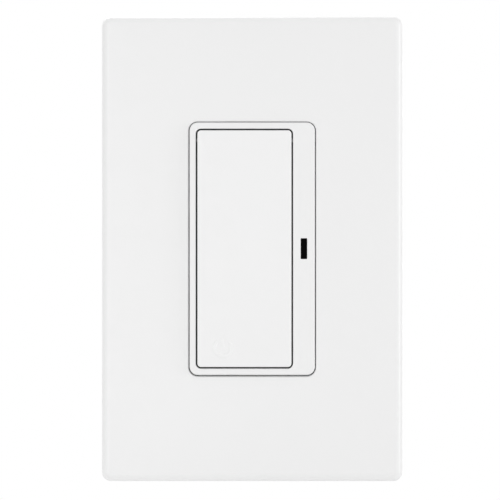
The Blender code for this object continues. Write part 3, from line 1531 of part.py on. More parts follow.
def clamp_plate(name, side, level):
    """The square plate under a terminal's screw head, with its corners cut off."""
    half = (TERMINAL_SIZE - FIT) / 2
    near = half - CLAMP_CHAMFER
    outline = (
        (near, -half),
        (half, -near),
        (half, near),
        (near, half),
        (-near, half),
        (-half, near),
        (-half, -near),
        (-near, -half),
    )
    place = Vector((side * (CLAMP_OUTER - CLAMP_THICK / 2), TERMINAL_DEPTH, level))
    plate = prism(name, outline, place, BACK, UP, RIGHT, CLAMP_THICK)
    cut(plate, terminal_bore(side, level))
    finish(plate, "zinc_steel")


def build_terminals():
    length = CLAMP_OUTER + FIT - TERMINAL_INNER + SCREW_TAIL
    for number, (side, level) in enumerate(terminal_places(), start=1):
        terminal_plate(f"terminal_{number}", side, level)
        clamp_plate(f"clamp_plate_{number}", side, level)
        seat = Vector((side * (CLAMP_OUTER + FIT), TERMINAL_DEPTH, level))
        screw = pan_screw(
            f"terminal_screw_{number}",
            seat,
            -side * RIGHT,
            TERMINAL_SHANK,
            TERMINAL_HEAD,
            TERMINAL_HEAD_HEIGHT,
            length,
        )
        finish(screw, "brass", seat)


def build():
    for leftover in list(bpy.data.objects):
        bpy.data.objects.remove(leftover)
    build_wall_plate()
    build_mounting_plate()
    build_strap()
    build_bezel()
    build_indicator()
    hinge = pivot("pad_pivot", Vector((PAD_OFFSET, ROD_DEPTH, ROD_LEVEL)))
    build_push_pad(hinge)
    build_hinge_rod()
    build_springs()
    build_tact_switch(pivot("plunger_guide", Vector((PAD_OFFSET, PLUNGER_TIP, POST_LEVEL))))
    build_strap_screws()
    build_ground_screw()
    build_case_screws()
    build_housing()
    build_boards()
    build_radio()
    build_header()
    build_power_parts()
    build_terminals()


build()
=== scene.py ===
"""Looks of the smart light switch: fine edges, threads, springs, finishes, light and camera."""

import json
import math
from functools import partial

import bmesh
import bpy
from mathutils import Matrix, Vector


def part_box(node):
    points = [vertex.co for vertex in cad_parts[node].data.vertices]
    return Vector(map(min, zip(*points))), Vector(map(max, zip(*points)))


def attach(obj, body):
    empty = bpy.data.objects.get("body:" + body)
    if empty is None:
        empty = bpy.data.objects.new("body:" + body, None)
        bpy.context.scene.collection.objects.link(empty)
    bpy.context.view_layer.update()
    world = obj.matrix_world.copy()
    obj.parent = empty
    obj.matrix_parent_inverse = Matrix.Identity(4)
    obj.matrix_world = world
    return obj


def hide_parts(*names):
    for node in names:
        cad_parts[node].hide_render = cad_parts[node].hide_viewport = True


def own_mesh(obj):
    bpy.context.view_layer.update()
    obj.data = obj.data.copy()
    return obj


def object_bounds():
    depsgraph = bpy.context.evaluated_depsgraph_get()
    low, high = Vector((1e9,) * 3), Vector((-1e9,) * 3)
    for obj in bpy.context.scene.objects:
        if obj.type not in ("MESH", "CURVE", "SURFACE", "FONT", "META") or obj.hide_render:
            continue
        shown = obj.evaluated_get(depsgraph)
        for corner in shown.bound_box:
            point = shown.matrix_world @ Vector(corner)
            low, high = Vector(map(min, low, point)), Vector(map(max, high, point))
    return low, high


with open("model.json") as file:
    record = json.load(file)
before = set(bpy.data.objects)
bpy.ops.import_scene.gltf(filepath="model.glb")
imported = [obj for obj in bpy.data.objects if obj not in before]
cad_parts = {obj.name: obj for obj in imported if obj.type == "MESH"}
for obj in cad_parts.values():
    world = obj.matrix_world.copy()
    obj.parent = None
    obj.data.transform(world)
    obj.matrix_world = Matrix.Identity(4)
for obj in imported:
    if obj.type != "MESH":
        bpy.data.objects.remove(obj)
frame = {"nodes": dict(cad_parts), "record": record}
cad_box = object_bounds()

MM = 0.001
ORIGIN = Vector((0, 0, 0))
RIGHT = Vector((1, 0, 0))
BACK = Vector((0, 1, 0))
UP = Vector((0, 0, 1))
CORNERS = ((1, 1), (-1, 1), (-1, -1), (1, -1))
TERMINALS = range(1, 5)

# Camera: the photograph is 500 pixels square, and this is the plate's outline in it
PHOTO_PIXELS = 500
PLATE_LEFT, PLATE_RIGHT = 102.0, 402.4
PLATE_TOP, PLATE_BOTTOM = 17.0, 481.1
FOCAL_LENGTH = 400
SENSOR_WIDTH = 36

# Softened edges: how wide each one is
SOFT_EDGES = {
    "wall_plate": 0.18 * MM,
    "mounting_plate": 0.15 * MM,
    "strap": 0.14 * MM,
    "bezel": 0.06 * MM,
    "push_pad": 0.08 * MM,
    "indicator_lens": 0.05 * MM,
    "rear_housing": 0.25 * MM,
    "retainer_top": 0.12 * MM,
    "retainer_bottom": 0.12 * MM,
    **{f"terminal_{number}": 0.08 * MM for number in TERMINALS},
    **{f"clamp_plate_{number}": 0.1 * MM for number in TERMINALS},
    "switch_plunger": 0.08 * MM,
    "tact_switch": 0.08 * MM,
    "power_board": 0.1 * MM,
    "control_board": 0.1 * MM,
}
BEVEL_SEGMENTS = 2
SHARP_ANGLE = math.radians(28)
FLAT_ANGLE = math.radians(0.5)
WELD = 0.002 * MM

# Screws: the shank's radius, then the head's radius and height
BOX_SCREW = (1.6 * MM, 3.2 * MM, 1.8 * MM)
PLATE_SCREW = (1.45 * MM, 2.9 * MM, 1.3 * MM)
GROUND_SCREW = (1.6 * MM, 3.3 * MM, 1.8 * MM)
TERMINAL_SCREW = (1.6 * MM, 3.2 * MM, 1.6 * MM)

# Turn of each screw in radians, and of a terminal screw against the one before it
REAR_SCREW_TURNS = {"top": 0.6, "bottom": 1.6}
GROUND_SCREW_TURN = 0.35
TERMINAL_SCREW_STEP = 0.8

# Threads and heads: the tip's reach is in thread depths
THREAD_PITCH = 0.79 * MM
THREAD_DEPTH_SHARE = 0.2
THREAD_CREST = 1.35
TIP_REACH = 1.2
TIP_SLOPE = 0.8
ROWS_PER_TURN = 8
HEAD_RIM_SHARE = 0.3
HEAD_STEPS = 8
ROUND_SIDES = 36

# Recess in a head: a tapered cross with a straight slot over it, in shares of the head
CROSS_WIDTH = 0.85 * MM
CROSS_SPAN_SHARE = 1.2
CROSS_DEPTH_SHARE = 0.62
CROSS_TAPER = 0.6
SLOT_WIDTH = 0.9 * MM
SLOT_SPAN_SHARE = 2.4
SLOT_DEPTH_SHARE = 0.4
SLOT_TAPER = 1.0
CUTTER_OVERSHOOT = 0.3 * MM

# Springs
WIRE_RADIUS = 0.2 * MM
WIRE_SIDES = 10
STEPS_PER_TURN = 28
ACTIVE_TURNS = 3.0
CLOSED_TURNS = 0.85
CLOSED_PITCH = 2.1 * WIRE_RADIUS

# Painted shade: a thin dark sheet on the floor of the well that the pad lies in, which makes the gap
# round the pad black
WELL_FLOOR = -2.8 * MM
SHADE_SHEET_THICK = 0.12 * MM
SHADE_SHEET_BORDER = 1.3 * MM
SHADE_SHEET_REACH = 0.36 * MM
SHADE_SHEET_OUTER_CORNER = 1.3 * MM
SHADE_SHEET_INNER_CORNER = 0.65 * MM
CORNER_STEPS = 6

# Marks that the mould's ejector pins leave: their profile is in shares of the rise and radius
PLATE_WEB_REAR = -1.6 * MM
PIN_RADIUS = 2.0 * MM
PIN_RISE = 0.06 * MM
PIN_PROFILE = ((-1.0, 1.0), (0.5, 1.0), (1.0, 0.93), (0.6, 0.8))
PIN_ASIDE = 29 * MM
PIN_LEVELS = (11.5 * MM, 35 * MM, 51 * MM)

# Sign moulded on the pad: its outline in the photograph, and its bar in shares of its radius
SIGN_LEFT, SIGN_RIGHT = 210.0, 236.0
SIGN_TOP, SIGN_BOTTOM = 336.0, 360.0
SIGN_STROKE = 0.9 * MM
SIGN_RISE = 0.17 * MM
SIGN_SINK = 0.2 * MM
SIGN_PROFILE_STEPS = 6
SIGN_OPENING = math.radians(42)
SIGN_STEPS = 40
SIGN_BAR = (0.15, 0.65, 1.2)

# Textures: the middle range of a noise, and a stretch that changes nothing
TEXTURE_LOW, TEXTURE_HIGH = 0.3, 0.7
EVEN = (1, 1, 1)

# Colours of the finishes
WHITE = (0.86, 0.86, 0.86)
SMOKE_DARK = (0.001, 0.001, 0.001)
SMOKE_LIGHT = (0.002, 0.002, 0.002)
FIBRE_DARK = (0.1, 0.075, 0.055)
FIBRE_LIGHT = (0.27, 0.22, 0.17)
TINNED = (0.6, 0.6, 0.58)

# Zinc plate: tints of its patches, and how much its crystals show and how dark they are
WARM_TINT = (1.03, 1.0, 0.93)
COLD_TINT = (0.95, 0.99, 1.05)
CRYSTAL_SHARE = 0.16
CRYSTAL_TONE = 0.8

# Circuit board: lacquer between and over its tracks, and its pads' share of a cell
LACQUER_DARK = (0.012, 0.13, 0.05, 1)
LACQUER_LIGHT = (0.016, 0.16, 0.065, 1)
LACQUER_OVER_TRACK = (0.05, 0.27, 0.1, 1)
TRACK_WIDTH = 0.09
TRACK_BLUR = 0.1
PAD_REACH = 0.22

# Depths of marks, and of a finer second grain as a share of the first
DUST_SHARE = 0.25
FINE_SHARE = 0.6
ROLLED_DEPTH = 0.006 * MM
PIT_DEPTH = 0.005 * MM
HANDLED_DEPTH = 0.006 * MM
WORN_DEPTH = 0.001 * MM
FIBRE_DEPTH = 0.02 * MM
TRACK_DEPTH = 0.02 * MM
WEAVE_DEPTH = 0.004 * MM
WINDING_DEPTH = 0.05 * MM

# Lamps, which all point at the origin: place and size in metres, and power in watts
AMBIENT = 0.658
LAMPS = {
    "key": ((-0.42, -1.08, 0.05), (0.6, 0.6), 2.8),
    "overhead": ((-0.1, -0.33, 0.9), (1.0, 0.3), 1.05),
    "edge": ((0.95, -0.16, 0.0), (0.2, 0.8), 2.8),
    "rear": ((-0.38, 0.95, 0.95), (0.7, 0.7), 7.3),
}

# Floor: the shares of its radius between which it fades to white
FLOOR_DROP = 60 * MM
FLOOR_RADIUS = 450 * MM
FLOOR_FADE_START, FLOOR_FADE_END = 0.45, 0.97
FLOOR_SIDES = 96
FLOOR_DARK = (0.86, 0.86, 0.86)
FLOOR_LIGHT = (0.88, 0.88, 0.88)


# Node graphs

def feed(owner, value, socket):
    """Link another socket to this one, or set it to a plain value."""
    if isinstance(value, bpy.types.NodeSocket):
        owner.node_tree.links.new(value, socket)
    else:
        socket.default_value = value


def add(owner, kind, **values):
    """A node of one kind, with its inputs fed by name."""
    node = owner.node_tree.nodes.new("ShaderNode" + kind)
    for name, value in values.items():
        feed(owner, value, node.inputs[name.replace("_", " ")])
    return node


def maths(owner, operation, first, second):
    node = add(owner, "Math")
    node.operation = operation
    feed(owner, first, node.inputs[0])
    feed(owner, second, node.inputs[1])
    return node.outputs["Value"]


def material_of(name, roughness, metallic=0.0):
    material = bpy.data.materials.new(name)
    material.use_nodes = True
    shader = material.node_tree.nodes["Principled BSDF"]
    shader.inputs["Roughness"].default_value = roughness
    shader.inputs["Metallic"].default_value = metallic
    return material, shader


def place_on(material, stretch=EVEN):
    """The piece's own coordinates in metres, stretched for streaks."""
    source = add(material, "TexCoord").outputs["Object"]
    return add(material, "Mapping", Vector=source, Scale=stretch).outputs["Vector"]


def noise(material, scale, detail=3, stretch=EVEN, roughness=0.5):
    place = place_on(material, stretch)
    node = add(material, "TexNoise", Vector=place, Scale=scale, Detail=detail, Roughness=roughness)
    return node.outputs["Fac"]


def cells(material, scale):
    node = add(material, "TexVoronoi", Vector=place_on(material), Scale=scale)
    return node.outputs["Color"], node.outputs["Distance"]


def spread(material, texture, low=0.0, high=1.0):
    """A texture's middle range carried on to the range from low to high."""
    node = add(
        material,
        "MapRange",
        Value=texture,
        From_Min=TEXTURE_LOW,
        From_Max=TEXTURE_HIGH,
        To_Min=low,
        To_Max=high,
    )
    return node.outputs["Result"]


def blend(material, factor, first, second):
    """A mix of two colours, each a socket or its red, green and blue."""
    node = material.node_tree.nodes.new("ShaderNodeMix")
    node.data_type = "RGBA"
    feed(material, factor, node.inputs["Factor"])
    for name, colour in (("A", first), ("B", second)):
        is_socket = isinstance(colour, bpy.types.NodeSocket)
        feed(material, colour if is_socket else (*colour, 1.0), node.inputs[name])
    return node.outputs["Result"]


def toned(colour, factor):
    return tuple(min(1.0, channel * factor) for channel in colour)


def tinted(colour, tint):
    return tuple(channel * share for channel, share in zip(colour, tint))


def mottled(material, factor, colour, dark, light):
    """A colour that goes from a darker to a lighter tone with the factor."""
    return blend(material, factor, toned(colour, dark), toned(colour, light))


def paint(material, shader, colour, texture, less, more):
    """A colour, and a texture that takes the roughness from a little less to a little more."""
    feed(material, colour, shader.inputs["Base Color"])
    roughness = shader.inputs["Roughness"]
    level = roughness.default_value
    feed(material, spread(material, texture, level - less, level + more), roughness)


def emboss(material, shader, layers):
    """Bump from several heights, each with its own depth in metres."""
    normal = None
    for height, depth in layers:
        node = add(material, "Bump", Height=height, Distance=depth, Strength=1.0)
        if normal:
            feed(material, normal, node.inputs["Normal"])
        normal = node.outputs["Normal"]
    feed(material, normal, shader.inputs["Normal"])


# Finishes

def white_moulding(name, tone, roughness, grain=0.004 * MM):
    """Polished white moulding: an even tone, faint flow and a slight orange peel."""
    material, shader = material_of(name, roughness)
    flow = noise(material, scale=22, detail=4, stretch=(1, 1, 0.45))
    colour = mottled(material, spread(material, flow), tone, dark=0.994, light=1.004)
    sheen = noise(material, scale=160, detail=5)
    paint(material, shader, colour, sheen, less=0.05, more=0.05)
    peel = noise(material, scale=750, detail=2)
    dust = noise(material, scale=5200, detail=1)
    emboss(material, shader, ((peel, grain), (dust, DUST_SHARE * grain)))
    return material


def grained_moulding(name, tone, roughness, grain=0.03 * MM):
    """Matte moulding from a spark-eroded mould: a fine even grain all over."""
    material, shader = material_of(name, roughness)
    cloud = noise(material, scale=40, detail=5)
    colour = mottled(material, spread(material, cloud), tone, dark=0.82, light=1.2)
    sheen = noise(material, scale=900)
    paint(material, shader, colour, sheen, less=0.1, more=0.1)
    _, pits = cells(material, scale=2600)
    fine = noise(material, scale=5200)
    emboss(material, shader, ((pits, grain), (fine, FINE_SHARE * grain)))
    return material


def plated_steel(name, tone, roughness, streaks=(1, 1, 0.08)):
    """Zinc plate over rolled steel: faint streaks, a soft crystal pattern and tinted patches."""
    material, shader = material_of(name, roughness, metallic=1.0)
    warm, cold = tinted(tone, WARM_TINT), tinted(tone, COLD_TINT)
    patches = spread(material, noise(material, scale=70, detail=4))
    plate = blend(material, patches, warm, cold)
    crystal, _ = cells(material, scale=420)
    grey = add(material, "RGBToBW", Color=crystal).outputs["Val"]
    crystals = spread(material, grey, high=CRYSTAL_SHARE)
    colour = blend(material, crystals, plate, toned(tone, CRYSTAL_TONE))
    rolled = noise(material, scale=1500, stretch=streaks)
    paint(material, shader, colour, rolled, less=0.09, more=0.11)
    pits = noise(material, scale=2600, detail=2)
    emboss(material, shader, ((rolled, ROLLED_DEPTH), (pits, PIT_DEPTH)))
    return material


def turned_metal(name, tone, roughness):
    """Machined brass or dyed steel: patches of tarnish and fine handling marks."""
    material, shader = material_of(name, roughness, metallic=1.0)
    patches = noise(material, scale=260, detail=5)
    colour = mottled(material, spread(material, patches), tone, dark=0.75, light=1.0)
    marks = noise(material, scale=1900, detail=4)
    paint(material, shader, colour, marks, less=0.08, more=0.12)
    emboss(material, shader, ((marks, HANDLED_DEPTH),))
    return material


def smoked_plastic(name):
    """Smoked light guide: almost black and polished, with a few faint marks."""
    material, shader = material_of(name, roughness=0.12)
    depth = spread(material, noise(material, scale=500))
    colour = blend(material, depth, SMOKE_DARK, SMOKE_LIGHT)
    wear = noise(material, scale=2400)
    paint(material, shader, colour, wear, less=0.04, more=0.08)
    emboss(material, shader, ((wear, WORN_DEPTH),))
    shader.inputs["Specular IOR Level"].default_value = 0.02
    return material


def pressed_fibre(name):
    """Grey-brown vulcanised fibre with short threads pressed into it."""
    material, shader = material_of(name, roughness=0.8)
    threads = noise(material, scale=1500, detail=6, stretch=(1, 1, 0.2), roughness=0.7)
    colour = blend(material, spread(material, threads), FIBRE_DARK, FIBRE_LIGHT)
    paint(material, shader, colour, threads, less=0.1, more=0.1)
    emboss(material, shader, ((threads, FIBRE_DEPTH),))
    return material


def solder_mask(name):
    """Green lacquer over copper tracks, with tinned pads."""
    material, shader = material_of(name, roughness=0.35)
    tracks = add(
        material,
        "TexBrick",
        Vector=place_on(material),
        Scale=180,
        Mortar_Size=TRACK_WIDTH,
        Mortar_Smooth=TRACK_BLUR,
        Color1=LACQUER_DARK,
        Color2=LACQUER_LIGHT,
        Mortar=LACQUER_OVER_TRACK,
    )
    _, distance = cells(material, scale=330)
    pads = maths(material, "LESS_THAN", distance, PAD_REACH)
    colour = blend(material, pads, tracks.outputs["Color"], TINNED)
    weave = noise(material, scale=1700, detail=2)
    paint(material, shader, colour, weave, less=0.07, more=0.07)
    emboss(material, shader, ((tracks.outputs["Fac"], TRACK_DEPTH), (weave, WEAVE_DEPTH)))
    return material


def wound_tape(name, tone):
    """Film tape over a winding, with the wires' ridges showing through."""
    material, shader = material_of(name, roughness=0.4)
    wave = add(material, "TexWave", Vector=place_on(material), Scale=700, Distortion=1.2)
    wave.bands_direction = "Y"
    ridges = wave.outputs["Fac"]
    colour = mottled(material, ridges, tone, dark=0.75, light=1.0)
    paint(material, shader, colour, noise(material, scale=800), less=0.08, more=0.1)
    emboss(material, shader, ((ridges, WINDING_DEPTH),))
    return material


def make_finishes():
    """A finish for each slot: its tone, its roughness and, where it differs, its grain."""
    return {
        "cover_plastic": white_moulding("cover_plastic_look", WHITE, 0.36),
        "bezel_plastic": white_moulding("bezel_plastic_look", WHITE, 0.38),
        "pad_plastic": white_moulding("pad_plastic_look", (0.875, 0.875, 0.875), 0.42, 0.006 * MM),
        "inner_plastic": white_moulding("inner_plastic_look", (0.8, 0.8, 0.79), 0.55, 0.01 * MM),
        "housing_plastic": grained_moulding("housing_plastic_look", (0.03, 0.031, 0.034), 0.5),
        "plunger_plastic": grained_moulding("plunger_plastic_look", (0.04, 0.04, 0.045), 0.5, 0.01 * MM),
        "lens_plastic": smoked_plastic("lens_plastic_look"),
        "led_body": white_moulding("led_body_look", (0.85, 0.85, 0.75), 0.25),
        "strap_steel": plated_steel("strap_steel_look", (0.62, 0.63, 0.65), 0.34),
        "screw_steel": plated_steel("screw_steel_look", (0.64, 0.65, 0.67), 0.28, streaks=EVEN),
        "spring_steel": plated_steel("spring_steel_look", (0.32, 0.32, 0.33), 0.34, streaks=EVEN),
        "clamp_steel": plated_steel("clamp_steel_look", (0.6, 0.61, 0.62), 0.36, streaks=(1, 0.1, 1)),
        "shield_tin": plated_steel("shield_tin_look", (0.7, 0.71, 0.72), 0.25),
        "ground_steel": turned_metal("ground_steel_look", (0.05, 0.34, 0.13), 0.33),
        "terminal_brass": turned_metal("terminal_brass_look", (0.74, 0.54, 0.25), 0.27),
        "retainer_fibre": pressed_fibre("retainer_fibre_look"),
        "circuit_board": solder_mask("circuit_board_look"),
        "chip_case": grained_moulding("chip_case_look", (0.03, 0.03, 0.03), 0.45, 0.01 * MM),
        "relay_case": grained_moulding("relay_case_look", (0.03, 0.1, 0.3), 0.38, 0.006 * MM),
        "ferrite": grained_moulding("ferrite_look", (0.06, 0.06, 0.065), 0.62, 0.02 * MM),
        "coil_tape": wound_tape("coil_tape_look", (0.75, 0.62, 0.12)),
        "can_sleeve": grained_moulding("can_sleeve_look", (0.03, 0.03, 0.05), 0.3, 0.004 * MM),
        "film_case": grained_moulding("film_case_look", (0.75, 0.55, 0.08), 0.42, 0.008 * MM),
        "varistor_coat": grained_moulding("varistor_coat_look", (0.05, 0.2, 0.5), 0.34, 0.015 * MM),
        "resistor_body": grained_moulding("resistor_body_look", (0.45, 0.6, 0.55), 0.5, 0.01 * MM),
    }


# Pieces

def dress(piece, slot_name):
    """Give a piece the finish of its slot and smooth round faces."""
    piece.data.materials.clear()
    piece.data.materials.append(finishes[slot_name])
    piece.data.shade_smooth()
    piece.data.set_sharp_from_angle(angle=SHARP_ANGLE)


def stand_for(piece, node):
    """The piece replaces a CAD node and rides on the node's body."""
    dress(piece, slots[node])
    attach(piece, bodies[node])
    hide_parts(node)


def object_of(name, mesh):
    """An object with its faces turned outward."""
    bmesh.ops.recalc_face_normals(mesh, faces=mesh.faces)
    data = bpy.data.meshes.new(name)
    mesh.to_mesh(data)
    mesh.free()
    piece = bpy.data.objects.new(name, data)
    bpy.context.scene.collection.objects.link(piece)
    return piece


def soften(node, width):
    """A copy of a CAD node whose sharp edges are rounded, as mouldings and stampings are."""
    mesh = bmesh.new()
    mesh.from_mesh(frame["nodes"][node].data)
    bmesh.ops.remove_doubles(mesh, verts=mesh.verts, dist=WELD)
    bmesh.ops.dissolve_limit(mesh, angle_limit=FLAT_ANGLE, verts=mesh.verts, edges=mesh.edges)
    piece = object_of(node + "_fine", mesh)
    bevel = piece.modifiers.new("edges", "BEVEL")
    bevel.width = width
    bevel.segments = BEVEL_SEGMENTS
    bevel.limit_method = "ANGLE"
    bevel.angle_limit = SHARP_ANGLE
    bevel.harden_normals = True
    bevel.use_clamp_overlap = True
    stand_for(piece, node)


def circle(place, across, other, radius_at, sides):
    """Points round a place in the plane of two directions. The radius may change with the angle."""
    points = []
    for side in range(sides):
        angle = math.tau * side / sides
        reach = radius_at(angle)
        points.append(place + reach * (across * math.cos(angle) + other * math.sin(angle)))
    return points


def ring(place, axis, radius_at):
    """A circle of points about an axis."""
    across = axis.orthogonal().normalized()
    return circle(place, across, axis.cross(across), radius_at, ROUND_SIDES)


def loft(name, rings, endless=False):
    """One closed mesh through rings of equally many points, capped or run round to its start."""
    mesh = bmesh.new()
    loops = [[mesh.verts.new(point) for point in points] for points in rings]
    count = len(loops[0])
    pairs = list(zip(loops, loops[1:]))
    if endless:
        pairs.append((loops[-1], loops[0]))
    for first, second in pairs:
        for index in range(count):
            after = (index + 1) % count
            mesh.faces.new((first[index], first[after], second[after], second[index]))
    if not endless:
        mesh.faces.new(loops[0])
        mesh.faces.new(loops[-1])
    return object_of(name, mesh)


def cut(piece, tools):
    """Cut tools out of a piece one after another, and remove them."""
    for tool in tools:
        modifier = piece.modifiers.new("cut", "BOOLEAN")
        modifier.operation = "DIFFERENCE"
        modifier.object = tool
    graph = bpy.context.evaluated_depsgraph_get()
    result = bpy.data.meshes.new_from_object(piece.evaluated_get(graph))
    piece.modifiers.clear()
    former = piece.data
    piece.data = result
    bpy.data.meshes.remove(former)
    for tool in tools:
        bpy.data.objects.remove(tool)


# Screws with a true helical thread and a slotted cross recess

def thread_radius(radius, length, along, angle):
    """A threaded shank's radius at a distance from its head and an angle."""
    depth = radius * THREAD_DEPTH_SHARE
    phase = (along / THREAD_PITCH - angle / math.tau) % 1
    ridge = min(1.0, THREAD_CREST * (1 - abs(2 * phase - 1)))
    run_out = max(0.0, along + TIP_REACH * depth - length) * TIP_SLOPE
    return radius - depth * (1 - ridge) - run_out


def thread_rings(seat, axis, radius, length):
    """Rings down a threaded shank from under its head to its chamfered tip."""
    rows = round(length / THREAD_PITCH * ROWS_PER_TURN)
    rings = []
    for row in range(rows + 1):
        along = length * row / rows
        rings.append(ring(seat + axis * along, axis, partial(thread_radius, radius, length, along)))
    return rings


def head_rings(seat, axis, radius, height):
    """Rings of a domed head from its crown to its seat."""
    rim = HEAD_RIM_SHARE * height
    rings = []
    for step in range(1, HEAD_STEPS + 1):
        angle = math.pi / 2 * step / HEAD_STEPS
        reach = radius * math.sin(angle)
        rise = rim + (height - rim) * math.cos(angle)
        rings.append(ring(seat - axis * rise, axis, lambda _: reach))
    rings.append(ring(seat, axis, lambda _: radius))
    return rings


def cutter(place, axis, along, width, span, depth, taper):
    """A bar that starts above a head and goes down into it, tapered both ways."""
    aside = axis.cross(along)
    rings = []
    for level, share in ((-CUTTER_OVERSHOOT, 1.0), (depth, taper)):
        middle = place + axis * level
        reach = along * (span * share / 2)
        half_width = aside * (width * share / 2)
        rings.append([middle + reach * end + half_width * side for end, side in CORNERS])
    return loft("cutter", rings)


def recess_cutters(top, axis, head, height, turn):
    """Two crossed wedges, and a straight bar along the first of them."""
    base = axis.orthogonal().normalized()
    first = (base * math.cos(turn) + axis.cross(base) * math.sin(turn)).normalized()
    second = axis.cross(first)
    cross = (CROSS_WIDTH, CROSS_SPAN_SHARE * head, CROSS_DEPTH_SHARE * height, CROSS_TAPER)
    slot = (SLOT_WIDTH, SLOT_SPAN_SHARE * head, SLOT_DEPTH_SHARE * height, SLOT_TAPER)
    bars = ((first, cross), (second, cross), (first, slot))
    return [cutter(top, axis, along, *sizes) for along, sizes in bars]


def build_screw(node, axis, sizes, turn):
    """A pan-head screw as long as its node. The axis points from its head to its tip."""
    shank, head, height = sizes
    low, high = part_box(node)
    total = abs((high - low).dot(axis))
    top = (low + high) / 2 - axis * (total / 2)
    seat = top + axis * height
    rings = head_rings(seat, axis, head, height) + thread_rings(seat, axis, shank, total - height)
    screw = loft(node + "_fine", rings)
    cut(screw, recess_cutters(top, axis, head, height, turn))
    stand_for(screw, node)


def build_rear_screws():
    """The box screws and the plate screws, which point to the rear."""
    for name, sizes in (("box_screw", BOX_SCREW), ("plate_screw", PLATE_SCREW)):
        for end, turn in REAR_SCREW_TURNS.items():
            build_screw(f"{name}_{end}", BACK, sizes, turn)


def build_side_screws():
    """The earth screw and the terminal screws, which lie across the switch."""
    build_screw("ground_screw", RIGHT, GROUND_SCREW, GROUND_SCREW_TURN)
    for number in TERMINALS:
        node = f"terminal_screw_{number}"
        low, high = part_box(node)
        side = math.copysign(1, low.x + high.x)
        build_screw(node, -side * RIGHT, TERMINAL_SCREW, number * TERMINAL_SCREW_STEP)


# Return springs: closed end coils and an open middle

def coil_travel(share, run):
    """How far along its run the wire is after a share of its turns."""
    closed = CLOSED_TURNS / (ACTIVE_TURNS + 2 * CLOSED_TURNS)
    creep = CLOSED_PITCH * CLOSED_TURNS
    if share < closed:
        return creep * share / closed
    if share > 1 - closed:
        return run - creep * (1 - share) / closed
    return creep + (run - 2 * creep) * (share - closed) / (1 - 2 * closed)


def coil_rings(low, high):
    """Rings round the wire of a coil that fills a box from its front to its rear."""
    centre = (low + high) / 2
    radius = (high.z - low.z) / 2 - WIRE_RADIUS
    front = low.y + WIRE_RADIUS
    run = high.y - WIRE_RADIUS - front
    turns = ACTIVE_TURNS + 2 * CLOSED_TURNS
    steps = round(turns * STEPS_PER_TURN)
    rings = []
    for step in range(steps + 1):
        share = step / steps
        angle = turns * math.tau * share
        outward = RIGHT * math.cos(angle) + UP * math.sin(angle)
        place = Vector((centre.x, front + coil_travel(share, run), centre.z)) + outward * radius
        rings.append(circle(place, outward, BACK, lambda _: WIRE_RADIUS, WIRE_SIDES))
    return rings


def build_springs():
    for node in ("return_spring_left", "return_spring_right"):
        low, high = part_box(node)
        spring = loft(node + "_fine", coil_rings(low, high))
        stand_for(spring, node)
        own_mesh(spring)


# Ejector pin marks

def build_pin_marks():
    """Low round lands with a worn rim, in pairs behind the mounting plate's web."""
    places = [(side, end, level) for side in (-1, 1) for end in (-1, 1) for level in PIN_LEVELS]
    for number, (side, end, level) in enumerate(places, start=1):
        place = Vector((side * PIN_ASIDE, PLATE_WEB_REAR, end * level))
        rings = []
        for rise, share in PIN_PROFILE:
            rings.append(ring(place + BACK * (rise * PIN_RISE), BACK, lambda _: PIN_RADIUS * share))
        mark = loft(f"pin_mark_{number}", rings)
        dress(mark, slots["mounting_plate"])
        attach(mark, bodies["mounting_plate"])


# Painted shade: a thin dark frame on the well's floor under the pad's rim, which makes the gap round the
# pad black

def rounded_ring(middle, half_width, half_height, corner, depth):
    """A rectangle with round corners, upright at one depth."""
    points = []
    for quarter, (side, end) in enumerate(CORNERS):
        x = middle.x + side * (half_width - corner)
        z = middle.z + end * (half_height - corner)
        for step in range(CORNER_STEPS + 1):
            angle = math.pi / 2 * (quarter + step / CORNER_STEPS)
            outward = RIGHT * math.cos(angle) + UP * math.sin(angle)
            points.append(Vector((x, depth, z)) + corner * outward)
    return points


def build_gap_shade_sheet():
    low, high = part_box("push_pad")
    middle = (low + high) / 2
    half_width = (high.x - low.x) / 2 + SHADE_SHEET_REACH
    half_height = (high.z - low.z) / 2 + SHADE_SHEET_REACH
    rings = []
    for inset, corner, depth in (
        (0, SHADE_SHEET_OUTER_CORNER, WELL_FLOOR),
        (0, SHADE_SHEET_OUTER_CORNER, WELL_FLOOR - SHADE_SHEET_THICK),
        (SHADE_SHEET_BORDER, SHADE_SHEET_INNER_CORNER, WELL_FLOOR - SHADE_SHEET_THICK),
        (SHADE_SHEET_BORDER, SHADE_SHEET_INNER_CORNER, WELL_FLOOR),
    ):
        rings.append(rounded_ring(middle, half_width - inset, half_height - inset, corner, depth))
    dark_sheet = loft("gap_shade_sheet", rings, endless=True)
    # painted shade: the sheet takes the dark housing finish and stands in for the shade deep in the gap
    dress(dark_sheet, "housing_plastic")
    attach(dark_sheet, bodies["bezel"])


# Sign moulded on the pad: a plain ring open at its top, and a short bar in the opening

def photo_scale():
    """Metres to a pixel at the plate's rear rim, which is its outline in the photograph."""
    low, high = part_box("wall_plate")
    return (high.z - low.z) / (PLATE_BOTTOM - PLATE_TOP)


def camera_distance():
    return PHOTO_PIXELS * photo_scale() * FOCAL_LENGTH / SENSOR_WIDTH


def photo_place(across, down, depth):
    """Where a pixel of the photograph lies at some depth."""
    low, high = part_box("wall_plate")
    scale = photo_scale() * (1 + (depth - high.y) / camera_distance())
    x = (low.x + high.x) / 2 + (across - (PLATE_LEFT + PLATE_RIGHT) / 2) * scale
    z = (low.z + high.z) / 2 - (down - (PLATE_TOP + PLATE_BOTTOM) / 2) * scale
    return x, z


